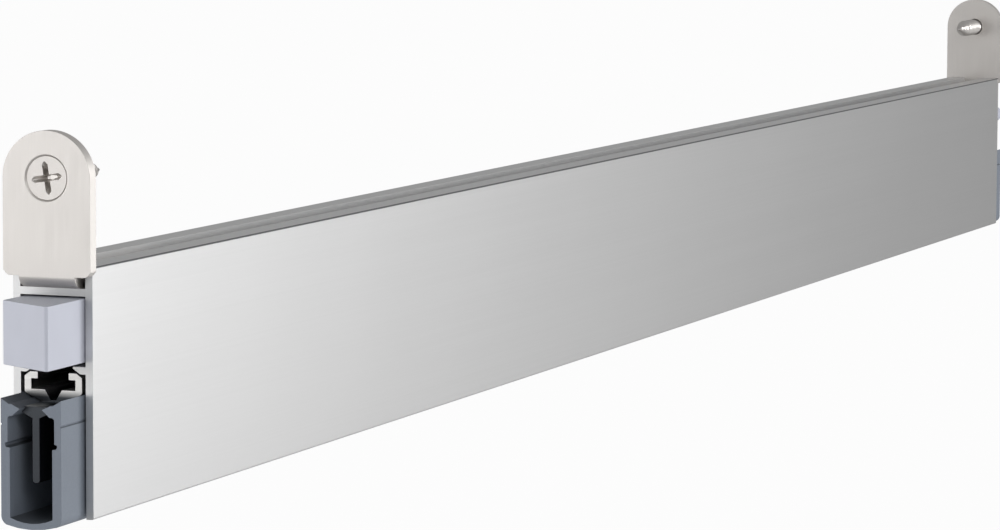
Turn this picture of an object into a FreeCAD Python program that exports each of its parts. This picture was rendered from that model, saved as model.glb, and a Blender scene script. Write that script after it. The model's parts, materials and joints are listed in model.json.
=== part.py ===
import FreeCAD, Part
import Sketcher

import os

# Automatic door bottom seal for a groove in the bottom edge of a door.
# X runs along the seal with the plunger button at -X, Y across it with the shown face at -Y, and Z up.
# The origin is the middle of the housing's top face. Depths are measured down from that face.
# All lengths are in millimetres, and angles in degrees.

SIZES = {
    # Housing channel
    "housing_length": 535.0,
    "housing_width": 13.2,
    "housing_height": 38.0,
    "housing_wall": 1.2,
    "housing_edge_round": 0.3,
    "lip_width": 4.2,
    "lip_thickness": 1.2,
    "groove_depth": 3.25,
    "web_thickness": 1.15,
    "ledge_depth": 15.0,
    "ledge_height": 1.1,
    "ledge_reach": 2.1,
    "ledge_root": 0.9,
    "ledge_edge": 0.3,
    # End brackets, folded from stainless sheet
    "bracket_thickness": 1.5,
    "bracket_width": 14.2,
    "bracket_shoulder": 1.4,
    "bracket_corner": 1.0,
    "bracket_bend": 0.3,
    "tongue_width": 9.25,
    "tongue_length": 40.0,
    "tongue_corner": 1.5,
    "screw_rise": 13.3,
    # Bracket screws
    "screw_head": 7.0,
    "screw_shank": 3.5,
    "screw_length": 18.0,
    "screw_point": 4.0,
    "screw_tip": 0.3,
    "screw_seat_gap": 0.05,
    "recess_span": 5.0,
    "recess_slot": 0.85,
    "recess_depth": 1.7,
    "recess_turn": 9.0,
    # Plunger button
    "button_width": 10.3,
    "button_height": 9.65,
    "button_long_side": 12.4,
    "button_short_side": 6.3,
    "button_inside": 14.0,
    "button_edge": 0.5,
    # Push rod and lock nut
    "rod_diameter": 3.5,
    "rod_depth": 9.5,
    "rod_engagement": 12.0,
    "rod_tail": 4.0,
    "rod_end_chamfer": 0.4,
    "nut_flats": 7.0,
    "nut_thickness": 3.2,
    # Sliding carriages and fixed anchors
    "spring_station": 135.0,
    "spring_span": 80.0,
    "block_length": 18.0,
    "block_recess_half": 3.5,
    "block_recess_depth": 12.0,
    "block_edge": 0.6,
    "set_screw_diameter": 3.0,
    "set_screw_recess": 0.2,
    "set_screw_hex": 1.5,
    "set_screw_socket": 1.2,
    "anchor_rivet_diameter": 3.0,
    "anchor_rivet_head": 4.4,
    "anchor_rivet_head_height": 0.8,
    "anchor_rivet_grip": 2.5,
    # Leaf springs and their cross pins
    "spring_width": 5.6,
    "spring_thickness": 0.4,
    "pin_diameter": 1.5,
    "pin_depth": 13.25,
    # Hangers in the carrier's channel
    "hanger_length": 24.0,
    "hanger_top_depth": 15.4,
    "hanger_edge": 0.4,
    "hanger_rivet_diameter": 2.0,
    "hanger_rivet_head": 3.6,
    "hanger_rivet_head_height": 0.7,
    "hanger_rivet_grip": 2.2,
    # Carrier rail
    "carrier_width": 9.6,
    "carrier_wall": 1.15,
    "carrier_rise": 0.1,
    "carrier_lip": 1.1,
    "carrier_opening": 5.12,
    "carrier_shoulder_flat": 3.85,
    "carrier_shoulder_drop": 0.7,
    "channel_height": 1.55,
    "vee_top": 2.8,
    "vee_bottom": 0.9,
    "vee_depth": 1.6,
    "carrier_floor_edge": 0.55,
    "carrier_corner": 0.5,
    "neck_width": 3.2,
    "neck_drop": 1.5,
    "barb_width": 4.8,
    "barb_drop": 0.7,
    "barb_underside": 0.85,
    "fin_thickness": 1.2,
    "fin_length": 9.75,
    "fin_edge_round": 0.54,
    "fin_overhang": 5.8,
    "carrier_trim_depth": 4.5,
    # Silicone seal
    "seal_width": 10.0,
    "seal_overhang": 7.5,
    "seal_tip_gap": 0.2,
    "seal_lip_reach": 3.1,
    "seal_root_chamfer": 0.3,
    "seal_step_inner": 3.275,
    "seal_step_outer": 3.62,
    "seal_step_drop": 0.2,
    "seal_upper_half": 3.85,
    "seal_lower_half": 3.5,
    "seal_groove_depth": 26.2,
    "seal_groove_radius": 0.5,
    "seal_groove_rise": 0.4,
    "seal_line_depth": 23.1,
    "seal_line_cut": 0.2,
    "seal_floor_side": 37.1,
    "seal_floor_middle": 37.85,
    "seal_foot_side": 38.2,
    "seal_foot_middle": 38.8,
    "seal_foot_round": 1.6,
    # Far end guide
    "end_guide_length": 12.0,
    "end_guide_inset": 1.0,
    "nub_diameter": 4.4,
    "nub_overhang": 3.0,
    # Clearances
    "slide_gap": 0.3,
    "fixed_gap": 0.1,
    "hanger_gap": 0.2,
    "running_gap": 0.1,
    "press_gap": 0.05,
}

# Places that several pieces share, worked out from the sizes above.
HALF_LENGTH = "(Sizes.housing_length / 2)"
INNER_HALF = "(Sizes.housing_width / 2 - Sizes.housing_wall)"
WEB_UNDERSIDE = "(Sizes.groove_depth + Sizes.web_thickness)"
LEDGE_UNDERSIDE = "(Sizes.ledge_depth + Sizes.ledge_height)"
CARRIER_TOP = f"({LEDGE_UNDERSIDE} - Sizes.carrier_rise)"
CHANNEL_CEILING = f"({CARRIER_TOP} + Sizes.carrier_lip)"
CHANNEL_FLOOR = f"({CHANNEL_CEILING} + Sizes.channel_height)"
CARRIER_CORNER = f"({CHANNEL_FLOOR} + Sizes.carrier_floor_edge)"
NECK = f"({CARRIER_CORNER} + Sizes.neck_drop)"
BARB_TIP = f"({NECK} + Sizes.barb_drop)"
FIN_ROOT = f"({BARB_TIP} + Sizes.barb_underside)"
HANGER_STRIP = "(Sizes.hanger_top_depth - Sizes.running_gap - Sizes.spring_thickness)"
EYE_BORE = "(Sizes.pin_diameter / 2 + Sizes.running_gap)"
EYE_OUTER = f"({EYE_BORE} + Sizes.spring_thickness)"

ALONG = FreeCAD.Vector(1, 0, 0)
ACROSS = FreeCAD.Vector(0, 1, 0)
UP = FreeCAD.Vector(0, 0, 1)

# How closely an edge is told apart from its neighbours by its place.
NEAR = 1e-3


def fill_sheet(doc):
    """Spreadsheet of the driving sizes, one named cell each."""
    sheet = doc.addObject("Spreadsheet::Sheet", "Sizes")
    for row, (name, value) in enumerate(SIZES.items(), start=1):
        sheet.set(f"A{row}", name)
        sheet.set(f"B{row}", str(value))
        sheet.setAlias(f"B{row}", name)
    doc.recompute()


def new_body(doc, label, along="0", depth="0", reversed_end=False):
    """Body of one piece, placed along X and below the top face; a reversed one is turned about Z."""
    body = doc.addObject("PartDesign::Body", label)
    body.Label = label
    if reversed_end:
        half_turn = FreeCAD.Rotation(FreeCAD.Vector(0, 0, 1), 180)
        body.Placement = FreeCAD.Placement(FreeCAD.Vector(), half_turn)
    body.setExpression("Placement.Base.x", along)
    body.setExpression("Placement.Base.z", f"-{depth}")
    return body


def new_sketch(body, name, plane, offset="0", shift_up="0"):
    """Empty sketch on an origin plane of the body, moved along its normal and up its own Y."""
    sketch = body.newObject("Sketcher::SketchObject", name)
    origin = next(item for item in body.Origin.OriginFeatures if item.Role == plane)
    sketch.AttachmentSupport = (origin, [""])
    sketch.MapMode = "FlatFace"
    sketch.setExpression("AttachmentOffset.Base.y", shift_up)
    sketch.setExpression("AttachmentOffset.Base.z", offset)
    return sketch


def bind(sketch, constraint, name, expression):
    """Adds a constraint whose value follows an expression."""
    index = sketch.addConstraint(constraint)
    sketch.renameConstraint(index, name)
    sketch.setExpression(f"Constraints.{name}", expression)


def fix_point(sketch, edge, end, across, up, tag):
    """Holds a sketch point at two expressions measured from the sketch's origin."""
    for axis, kind, expression in ((-2, "DistanceX", across), (-1, "DistanceY", up)):
        if expression == "0":
            sketch.addConstraint(Sketcher.Constraint("PointOnObject", edge, end, axis))
        else:
            value = sketch.evalExpression(expression)
            constraint = Sketcher.Constraint(kind, -1, 1, edge, end, value)
            bind(sketch, constraint, f"{kind}_{tag}", expression)


def arc_between(start, end, radius, bulge):
    """Minor arc from start to end; bulge 1 swells to the left of the way, -1 to the right."""
    chord = end - start
    normal = FreeCAD.Vector(-chord.y, chord.x, 0).normalize() * bulge
    sagitta = radius - max(radius**2 - (chord.Length / 2) ** 2, 0) ** 0.5
    return Part.Arc(start, (start + end) / 2 + normal * sagitta, end).toShape().Curve


def add_outline(sketch, corners, tag=""):
    """Closed outline through corners of (across, up) expressions.

    A corner with a radius and a bulge as well starts an arc instead of a straight edge.
    A tag keeps the names apart where a sketch has more than one outline.
    """
    points = []
    for corner in corners:
        across, up = (sketch.evalExpression(text) for text in corner[:2])
        points.append(FreeCAD.Vector(across, up, 0))
    ends = []
    for index, corner in enumerate(corners):
        start = points[index]
        end = points[(index + 1) % len(points)]
        if len(corner) == 2:
            edge = sketch.addGeometry(Part.LineSegment(start, end), False)
            ends.append((edge, 1, 2))
            continue
        radius = sketch.evalExpression(corner[2])
        circle = arc_between(start, end, radius, corner[3])
        turn = 1 if corner[3] < 0 else -1
        first, last = (start, end) if turn > 0 else (end, start)
        flat = Part.Circle(circle.Center, FreeCAD.Vector(0, 0, 1), radius)
        arc = Part.ArcOfCircle(flat, flat.parameter(first), flat.parameter(last))
        edge = sketch.addGeometry(arc, False)
        bind(sketch, Sketcher.Constraint("Radius", edge, radius), f"Radius_{tag}{index}", corner[2])
        ends.append((edge, 1, 2) if turn > 0 else (edge, 2, 1))
    for index, (edge, start_end, stop_end) in enumerate(ends):
        following = ends[(index + 1) % len(ends)]
        joint = Sketcher.Constraint("Coincident", edge, stop_end, following[0], following[1])
        sketch.addConstraint(joint)
        fix_point(sketch, edge, start_end, corners[index][0], corners[index][1], f"{tag}{index}")


def add_circle(sketch, radius, across="0", up="0", tag="ring"):
    """Circle whose centre and radius follow expressions."""
    centre = [sketch.evalExpression(text) for text in (across, up)]
    value = sketch.evalExpression(radius)
    circle = Part.Circle(FreeCAD.Vector(*centre, 0), FreeCAD.Vector(0, 0, 1), value)
    edge = sketch.addGeometry(circle, False)
    bind(sketch, Sketcher.Constraint("Radius", edge, value), f"Radius_{tag}", radius)
    fix_point(sketch, edge, 3, across, up, tag)


def rectangle(left, bottom, right, top):
    """Corners of a rectangle whose sides are expressions."""
    return [(left, bottom), (right, bottom), (right, top), (left, top)]


def hexagon(flats):
    """Corners of a hexagon on its point, from the expression of its width across flats."""
    side = f"{flats} / 2"
    point = f"({flats} / sqrt(3))"
    return [
        (side, f"-{point} / 2"),
        (side, f"{point} / 2"),
        ("0", point),
        (f"-{side}", f"{point} / 2"),
        (f"-{side}", f"-{point} / 2"),
        ("0", f"-{point}"),
    ]


def mirrored(corners):
    """The corners of a right half, followed by those of its mirror image across the middle."""
    left = []
    for index in reversed(range(len(corners))):
        arc = corners[index - 1][2:] if index else ()
        left.append((f"-({corners[index][0]})", corners[index][1], *arc))
    return corners + left


def pad(sketch, name, length, middle=True, back=False):
    """Extrudes a sketch both ways from its plane, or to one side of it."""
    feature = sketch.getParentGeoFeatureGroup().newObject("PartDesign::Pad", name)
    feature.Profile = sketch
    feature.Midplane = middle
    feature.Reversed = back
    feature.setExpression("Length", length)
    sketch.Document.recompute()
    return feature


def pocket(sketch, name, length=None, middle=False, forward=False):
    """Cuts a sketch into its body, against its normal unless forward; through all without a length."""
    body = sketch.getParentGeoFeatureGroup()
    before = body.Shape.Volume
    feature = body.newObject("PartDesign::Pocket", name)
    feature.Profile = sketch
    feature.Midplane = middle
    feature.Reversed = forward
    if length is None:
        feature.Type = "ThroughAll"
    else:
        feature.setExpression("Length", length)
    sketch.Document.recompute()
    if not feature.Shape.Volume < before:
        raise RuntimeError(f"{name} cuts nothing")


def turned(sketch, name, cut=False):
    """Full turn of a sketch about its own horizontal axis, added to its body or cut out of it."""
    body = sketch.getParentGeoFeatureGroup()
    before = body.Shape.Volume if cut else 0
    feature = body.newObject("PartDesign::Groove" if cut else "PartDesign::Revolution", name)
    feature.Profile = sketch
    feature.ReferenceAxis = (sketch, ["H_Axis"])
    feature.Angle = 360
    sketch.Document.recompute()
    if cut and not feature.Shape.Volume < before:
        raise RuntimeError(f"{name} cuts nothing")


def edges_along(shape, direction, keep):
    """Names of the straight edges along a direction whose middle point passes a test."""
    names = []
    for number, edge in enumerate(shape.Edges, start=1):
        if edge.Curve.TypeId != "Part::GeomLine":
            continue
        way = edge.Vertexes[-1].Point - edge.Vertexes[0].Point
        if way.normalize().cross(direction).Length < 1e-6 and keep(edge.CenterOfMass):
            names.append(f"Edge{number}")
    return names


def dressed(feature, kind, name, size, direction, keep):
    """Fillet or chamfer on the chosen straight edges of a feature."""
    names = edges_along(feature.Shape, direction, keep)
    if not names:
        raise RuntimeError(f"{name} finds no edge")
    trim = feature.getParentGeoFeatureGroup().newObject(f"PartDesign::{kind}", name)
    trim.Base = (feature, names)
    trim.setExpression("Radius" if kind == "Fillet" else "Size", size)
    feature.Document.recompute()
    return trim


def build_housing(doc):
    """Extruded channel: T-slot above a web, ledges half way down, open below and at both ends."""
    body = new_body(doc, "housing_profile")
    profile = new_sketch(body, "housing_section", "YZ_Plane")
    half = "Sizes.housing_width / 2"
    lip = "Sizes.housing_width / 2 - Sizes.lip_width"
    ledge_tip = f"{INNER_HALF} - Sizes.ledge_reach"
    right = [
        (INNER_HALF, "-Sizes.groove_depth"),
        (INNER_HALF, "-Sizes.lip_thickness"),
        (lip, "-Sizes.lip_thickness"),
        (lip, "0"),
        (half, "0"),
        (half, "-Sizes.housing_height"),
        (INNER_HALF, "-Sizes.housing_height"),
        (INNER_HALF, f"-{LEDGE_UNDERSIDE}"),
        (f"{INNER_HALF} - Sizes.ledge_root", f"-{LEDGE_UNDERSIDE}"),
        (ledge_tip, "-(Sizes.ledge_depth + Sizes.ledge_edge)"),
        (ledge_tip, "-Sizes.ledge_depth"),
        (INNER_HALF, "-Sizes.ledge_depth"),
        (INNER_HALF, f"-{WEB_UNDERSIDE}"),
    ]
    add_outline(profile, mirrored(right))
    channel = pad(profile, "housing_extrusion", "Sizes.housing_length")
    outside = SIZES["housing_width"] / 2 - NEAR
    dressed(
        channel, "Fillet", "housing_edges", "Sizes.housing_edge_round", ALONG,
        lambda point: abs(point.y) > outside,
    )
    holes = new_sketch(body, "anchor_rivet_holes", "XY_Plane", "-Sizes.lip_thickness")
    radius = "Sizes.anchor_rivet_diameter / 2 + Sizes.press_gap"
    for tag, sign in (("near", "-"), ("far", "")):
        station = f"{sign}Sizes.spring_station + Sizes.spring_span / 2"
        add_circle(holes, radius, across=station, tag=tag)
    depth = f"{WEB_UNDERSIDE} - Sizes.lip_thickness + Sizes.slide_gap"
    pocket(holes, "anchor_rivet_drilling", depth)


def build_bracket(doc, label, reversed_end):
    """Stainless plate with a round top, a countersunk hole and a tongue folded into the T-slot."""
    along = HALF_LENGTH if reversed_end else f"-{HALF_LENGTH}"
    body = new_body(doc, label, along=along, reversed_end=reversed_end)
    half = "Sizes.bracket_width / 2"
    plate = new_sketch(body, f"{label}_plate", "YZ_Plane")
    apex = f"Sizes.screw_rise + {half}"
    add_outline(plate, [
        (half, "-Sizes.bracket_shoulder"),
        (half, "Sizes.screw_rise", half, -1),
        ("0", apex, half, -1),
        (f"-{half}", "Sizes.screw_rise"),
        (f"-{half}", "-Sizes.bracket_shoulder"),
    ])
    blank = pad(plate, f"{label}_blank", "Sizes.bracket_thickness", middle=False, back=True)
    dressed(
        blank, "Fillet", f"{label}_shoulders", "Sizes.bracket_corner", ALONG,
        lambda point: point.z < NEAR - SIZES["bracket_shoulder"],
    )
    fold = new_sketch(body, f"{label}_fold", "XZ_Plane")
    tongue_top = "-(Sizes.groove_depth - Sizes.bracket_thickness)"
    bend_start = f"{tongue_top} + Sizes.bracket_bend"
    add_outline(fold, [
        ("-Sizes.bracket_thickness", "Sizes.bracket_corner"),
        ("-Sizes.bracket_thickness", bend_start, "Sizes.bracket_thickness + Sizes.bracket_bend", -1),
        ("Sizes.bracket_bend", "-Sizes.groove_depth"),
        ("Sizes.tongue_length", "-Sizes.groove_depth"),
        ("Sizes.tongue_length", tongue_top),
        ("Sizes.bracket_bend", tongue_top, "Sizes.bracket_bend", 1),
        ("0", bend_start),
        ("0", "Sizes.bracket_corner"),
    ])
    tongue = pad(fold, f"{label}_tongue", "Sizes.tongue_width")
    tip = SIZES["tongue_length"] - NEAR
    dressed(
        tongue, "Fillet", f"{label}_tongue_corners", "Sizes.tongue_corner", UP,
        lambda point: point.x > tip,
    )
    seat = new_sketch(body, f"{label}_countersink", "XZ_Plane", shift_up="Sizes.screw_rise")
    mouth = "Sizes.screw_head / 2 + Sizes.screw_seat_gap"
    add_outline(seat, [
        ("-Sizes.bracket_thickness", "0"),
        ("0", "0"),
        ("0", f"{mouth} - Sizes.bracket_thickness"),
        ("-Sizes.bracket_thickness", mouth),
    ])
    turned(seat, f"{label}_screw_hole", cut=True)


def build_bracket_screw(doc, label, reversed_end):
    """Countersunk wood screw: cone head flush with the bracket, shank, point and cross recess."""
    reach = f"({HALF_LENGTH} + Sizes.bracket_thickness)"
    along = reach if reversed_end else f"-{reach}"
    body = new_body(doc, label, along=along, depth="(-Sizes.screw_rise)", reversed_end=reversed_end)
    profile = new_sketch(body, f"{label}_profile", "XZ_Plane")
    shank = "Sizes.screw_shank / 2"
    add_outline(profile, [
        ("0", "0"),
        ("Sizes.screw_length", "0"),
        ("Sizes.screw_length", "Sizes.screw_tip / 2"),
        ("Sizes.screw_length - Sizes.screw_point", shank),
        ("(Sizes.screw_head - Sizes.screw_shank) / 2", shank),
        ("0", "Sizes.screw_head / 2"),
    ])
    turned(profile, f"{label}_turning")
    cross = new_sketch(body, f"{label}_cross", "YZ_Plane")
    cross.setExpression("AttachmentOffset.Rotation.Angle", "-Sizes.recess_turn")
    arm = "Sizes.recess_span / 2"
    slot = "Sizes.recess_slot / 2"
    add_outline(cross, [
        (arm, f"-{slot}"),
        (arm, slot),
        (slot, slot),
        (slot, arm),
        (f"-{slot}", arm),
        (f"-{slot}", slot),
        (f"-{arm}", slot),
        (f"-{arm}", f"-{slot}"),
        (f"-{slot}", f"-{slot}"),
        (f"-{slot}", f"-{arm}"),
        (slot, f"-{arm}"),
        (slot, f"-{slot}"),
    ])
    pocket(cross, f"{label}_recess", "Sizes.recess_depth", forward=True)


def build_button(doc):
    """Plunger button: a block with a slanted outer end and a blind hole for the push rod."""
    top = f"({WEB_UNDERSIDE} + Sizes.slide_gap)"
    body = new_body(doc, "plunger_button", along=f"-{HALF_LENGTH}")
    plan = new_sketch(body, "button_plan", "XY_Plane", offset=f"-{top}")
    half = "Sizes.button_width / 2"
    add_outline(plan, [
        ("-Sizes.button_long_side", f"-{half}"),
        ("Sizes.button_inside", f"-{half}"),
        ("Sizes.button_inside", half),
        ("-Sizes.button_short_side", half),
    ])
    block = pad(plan, "button_block", "Sizes.button_height", middle=False, back=True)
    dressed(
        block, "Fillet", "button_corners", "Sizes.button_edge", UP,
        lambda point: point.x < 0,
    )
    hole = new_sketch(
        body, "button_rod_hole", "YZ_Plane", offset="Sizes.button_inside", shift_up="-Sizes.rod_depth"
    )
    add_circle(hole, "Sizes.rod_diameter / 2 + Sizes.press_gap")
    pocket(hole, "button_rod_drilling", "Sizes.rod_engagement")


def build_lock_nut(doc):
    """Hexagon nut against the button's inner end."""
    start = f"(-{HALF_LENGTH} + Sizes.button_inside + Sizes.press_gap)"
    body = new_body(doc, "plunger_lock_nut", along=start, depth="Sizes.rod_depth")
    section = new_sketch(body, "nut_section", "YZ_Plane")
    add_outline(section, hexagon("Sizes.nut_flats"))
    pad(section, "nut_blank", "Sizes.nut_thickness", middle=False)
    bore = new_sketch(body, "nut_bore", "YZ_Plane")
    add_circle(bore, "Sizes.rod_diameter / 2 + Sizes.press_gap")
    pocket(bore, "nut_drilling", middle=True)


def build_push_rod(doc):
    """Round steel rod from inside the button to just past the far carriage."""
    start = f"(-{HALF_LENGTH} + Sizes.button_inside - Sizes.rod_engagement + Sizes.press_gap)"
    end = "(Sizes.spring_station - Sizes.spring_span / 2 + Sizes.block_length / 2 + Sizes.rod_tail)"
    body = new_body(doc, "push_rod", along=start, depth="Sizes.rod_depth")
    section = new_sketch(body, "rod_section", "YZ_Plane")
    add_circle(section, "Sizes.rod_diameter / 2")
    rod = pad(section, "rod_bar", f"{end} - {start}", middle=False)
    edges = enumerate(rod.Shape.Edges, start=1)
    ends = [f"Edge{number}" for number, edge in edges if edge.isClosed()]
    trim = body.newObject("PartDesign::Chamfer", "rod_ends")
    trim.Base = (rod, ends)
    trim.setExpression("Size", "Sizes.rod_end_chamfer")
    doc.recompute()


def block_section(body, label, gap):
    """Section of a block that rides on the housing's ledges, with a recess below for the spring."""
    profile = new_sketch(body, f"{label}_section", "YZ_Plane")
    half = f"({INNER_HALF} - {gap})"
    top = f"-({WEB_UNDERSIDE} + {gap})"
    feet = f"-(Sizes.ledge_depth - {gap})"
    right = [
        ("Sizes.block_recess_half", "-Sizes.block_recess_depth"),
        ("Sizes.block_recess_half", feet),
        (half, feet),
        (half, f"{top} - Sizes.block_edge"),
        (f"{half} - Sizes.block_edge", top),
    ]
    add_outline(profile, mirrored(right))
    return profile


def cross_hole(body, label):
    """Hole across both feet of a block for its spring pin."""
    hole = new_sketch(body, f"{label}_pin_hole", "XZ_Plane", shift_up="-Sizes.pin_depth")
    add_circle(hole, "Sizes.pin_diameter / 2 + Sizes.press_gap")
    pocket(hole, f"{label}_pin_drilling", middle=True)


def rod_hole(body, label, gap):
    """Hole along a block for the push rod."""
    hole = new_sketch(body, f"{label}_rod_hole", "YZ_Plane", shift_up="-Sizes.rod_depth")
    add_circle(hole, f"Sizes.rod_diameter / 2 + {gap}")
    pocket(hole, f"{label}_rod_drilling", middle=True)


def top_hole(body, label, diameter, gap, depth):
    """Hole from the top of a block for its set screw or rivet."""
    hole = new_sketch(body, f"{label}_top_hole", "XY_Plane", offset=f"-({WEB_UNDERSIDE} + {gap})")
    add_circle(hole, f"{diameter} / 2 + Sizes.press_gap")
    pocket(hole, f"{label}_top_drilling", depth)


def build_carriage(doc, end, station):
    """Sliding block on the push rod with its set screw."""
    label = f"{end}_carriage"
    body = new_body(doc, label, along=station)
    pad(block_section(body, label, "Sizes.slide_gap"), f"{label}_block", "Sizes.block_length")
    rod_hole(body, label, "Sizes.press_gap")
    cross_hole(body, label)
    rod_top = "(Sizes.rod_depth - Sizes.rod_diameter / 2)"
    block_top = f"({WEB_UNDERSIDE} + Sizes.slide_gap)"
    drilled = f"{rod_top} - {block_top} + Sizes.press_gap"
    top_hole(body, label, "Sizes.set_screw_diameter", "Sizes.slide_gap", drilled)
    screw_top = f"({block_top} + Sizes.set_screw_recess)"
    screw = new_body(doc, f"{label}_screw", along=station, depth=screw_top)
    round_bar = new_sketch(screw, f"{label}_screw_section", "XY_Plane")
    add_circle(round_bar, "Sizes.set_screw_diameter / 2")
    grip = f"{rod_top} - {screw_top} - Sizes.press_gap"
    pad(round_bar, f"{label}_screw_bar", grip, middle=False, back=True)
    socket = new_sketch(screw, f"{label}_screw_socket", "XY_Plane")
    add_outline(socket, hexagon("Sizes.set_screw_hex"))
    pocket(socket, f"{label}_screw_broaching", "Sizes.set_screw_socket")
    build_pin(doc, f"{label}_pin", station, "Sizes.slide_gap")


def build_anchor(doc, end, station):
    """Block fixed in the housing by a rivet through the web."""
    label = f"{end}_anchor_block"
    body = new_body(doc, label, along=station)
    pad(block_section(body, label, "Sizes.fixed_gap"), f"{label}_casting", "Sizes.block_length")
    rod_hole(body, label, "Sizes.running_gap")
    cross_hole(body, label)
    drilled = "Sizes.anchor_rivet_grip + Sizes.press_gap"
    top_hole(body, label, "Sizes.anchor_rivet_diameter", "Sizes.fixed_gap", drilled)
    build_rivet(
        doc, f"{end}_anchor_rivet", station, "anchor_rivet", "Sizes.groove_depth",
        "Sizes.web_thickness + Sizes.fixed_gap + Sizes.anchor_rivet_grip",
    )
    build_pin(doc, f"{end}_anchor_pin", station, "Sizes.fixed_gap")


def build_pin(doc, label, station, gap):
    """Cross pin that holds a spring eye between the feet of a block."""
    body = new_body(doc, label, along=station, depth="Sizes.pin_depth")
    section = new_sketch(body, f"{label}_section", "XZ_Plane")
    add_circle(section, "Sizes.pin_diameter / 2")
    pad(section, f"{label}_bar", f"2 * ({INNER_HALF} - {gap} - Sizes.press_gap)")


def build_rivet(doc, label, station, kind, seat, length):
    """Rivet of a kind named in the sizes: a domed head above its seat and a round shank below it."""
    head = f"Sizes.{kind}_head"
    head_height = f"Sizes.{kind}_head_height"
    shank = f"Sizes.{kind}_diameter"
    body = new_body(doc, label, along=station, depth=f"({seat})")
    profile = new_sketch(body, f"{label}_profile", "XZ_Plane")
    profile.setExpression("AttachmentOffset.Rotation.Angle", "90")
    rim = f"{head_height} / 2"
    add_outline(profile, [
        (f"-({length})", "0"),
        (head_height, "0"),
        (head_height, f"{head} / 4"),
        (rim, f"{head} / 2"),
        ("0", f"{head} / 2"),
        ("0", f"{shank} / 2"),
        (f"-({length})", f"{shank} / 2"),
    ])
    turned(profile, f"{label}_turning")


def build_leaf_spring(doc, end, centre):
    """Bowed strip of spring steel with an eye rolled up at each end."""
    label = f"{end}_leaf_spring"
    body = new_body(doc, label, along=centre)
    half_span = "Sizes.spring_span / 2"
    end_low = f"(Sizes.pin_depth + {EYE_OUTER})"
    end_high = f"({end_low} - Sizes.spring_thickness)"
    bow = f"({HANGER_STRIP} - {end_high})"
    radius = f"(({half_span}) ^ 2 + {bow} ^ 2) / (2 * {bow})"
    strip = new_sketch(body, f"{label}_bow", "XZ_Plane")
    add_outline(strip, [
        (f"-{half_span}", f"-{end_low}", radius, -1),
        (half_span, f"-{end_low}"),
        (half_span, f"-{end_high}", radius, 1),
        (f"-{half_span}", f"-{end_high}"),
    ])
    pad(strip, f"{label}_strip", "Sizes.spring_width")
    eyes = new_sketch(body, f"{label}_eyes", "XZ_Plane", shift_up="-Sizes.pin_depth")
    bores = new_sketch(body, f"{label}_bores", "XZ_Plane", shift_up="-Sizes.pin_depth")
    for tag, sign in (("left", "-"), ("right", "")):
        place = f"{sign}{half_span}"
        add_circle(eyes, EYE_OUTER, across=place, tag=tag)
        add_circle(bores, EYE_BORE, across=place, tag=tag)
    pad(eyes, f"{label}_rolls", "Sizes.spring_width")
    pocket(bores, f"{label}_pin_bores", middle=True)
    above = f"-({HANGER_STRIP} - Sizes.hanger_rivet_head_height)"
    hole = new_sketch(body, f"{label}_middle_hole", "XY_Plane", offset=above)
    add_circle(hole, "Sizes.hanger_rivet_diameter / 2 + Sizes.running_gap")
    pocket(hole, f"{label}_middle_punching")


def build_hanger(doc, end, centre):
    """T-shaped slider in the carrier's channel, with the rivet that holds the spring's middle."""
    label = f"{end}_hanger"
    body = new_body(doc, label, along=centre)
    profile = new_sketch(body, f"{label}_section", "YZ_Plane")
    head = "(Sizes.carrier_width / 2 - Sizes.carrier_wall - Sizes.hanger_gap)"
    neck = "(Sizes.carrier_opening / 2 - Sizes.hanger_gap)"
    shoulder = f"-({CHANNEL_CEILING} + Sizes.hanger_gap)"
    right = [
        (head, f"-({CHANNEL_FLOOR} - Sizes.hanger_gap)"),
        (head, shoulder),
        (neck, shoulder),
        (neck, "-Sizes.hanger_top_depth"),
    ]
    add_outline(profile, mirrored(right))
    slider = pad(profile, f"{label}_slider", "Sizes.hanger_length")
    tip = SIZES["hanger_length"] / 2 - NEAR
    dressed(
        slider, "Chamfer", f"{label}_ends", "Sizes.hanger_edge", ACROSS,
        lambda point: abs(point.x) > tip,
    )
    hole = new_sketch(body, f"{label}_rivet_hole", "XY_Plane", offset="-Sizes.hanger_top_depth")
    add_circle(hole, "Sizes.hanger_rivet_diameter / 2 + Sizes.press_gap")
    pocket(hole, f"{label}_rivet_drilling", "Sizes.hanger_rivet_grip + Sizes.press_gap")
    seat = f"{HANGER_STRIP} - Sizes.running_gap"
    build_rivet(
        doc, f"{end}_hanger_rivet", centre, "hanger_rivet", seat,
        f"Sizes.hanger_top_depth - ({seat}) + Sizes.hanger_rivet_grip",
    )


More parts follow.
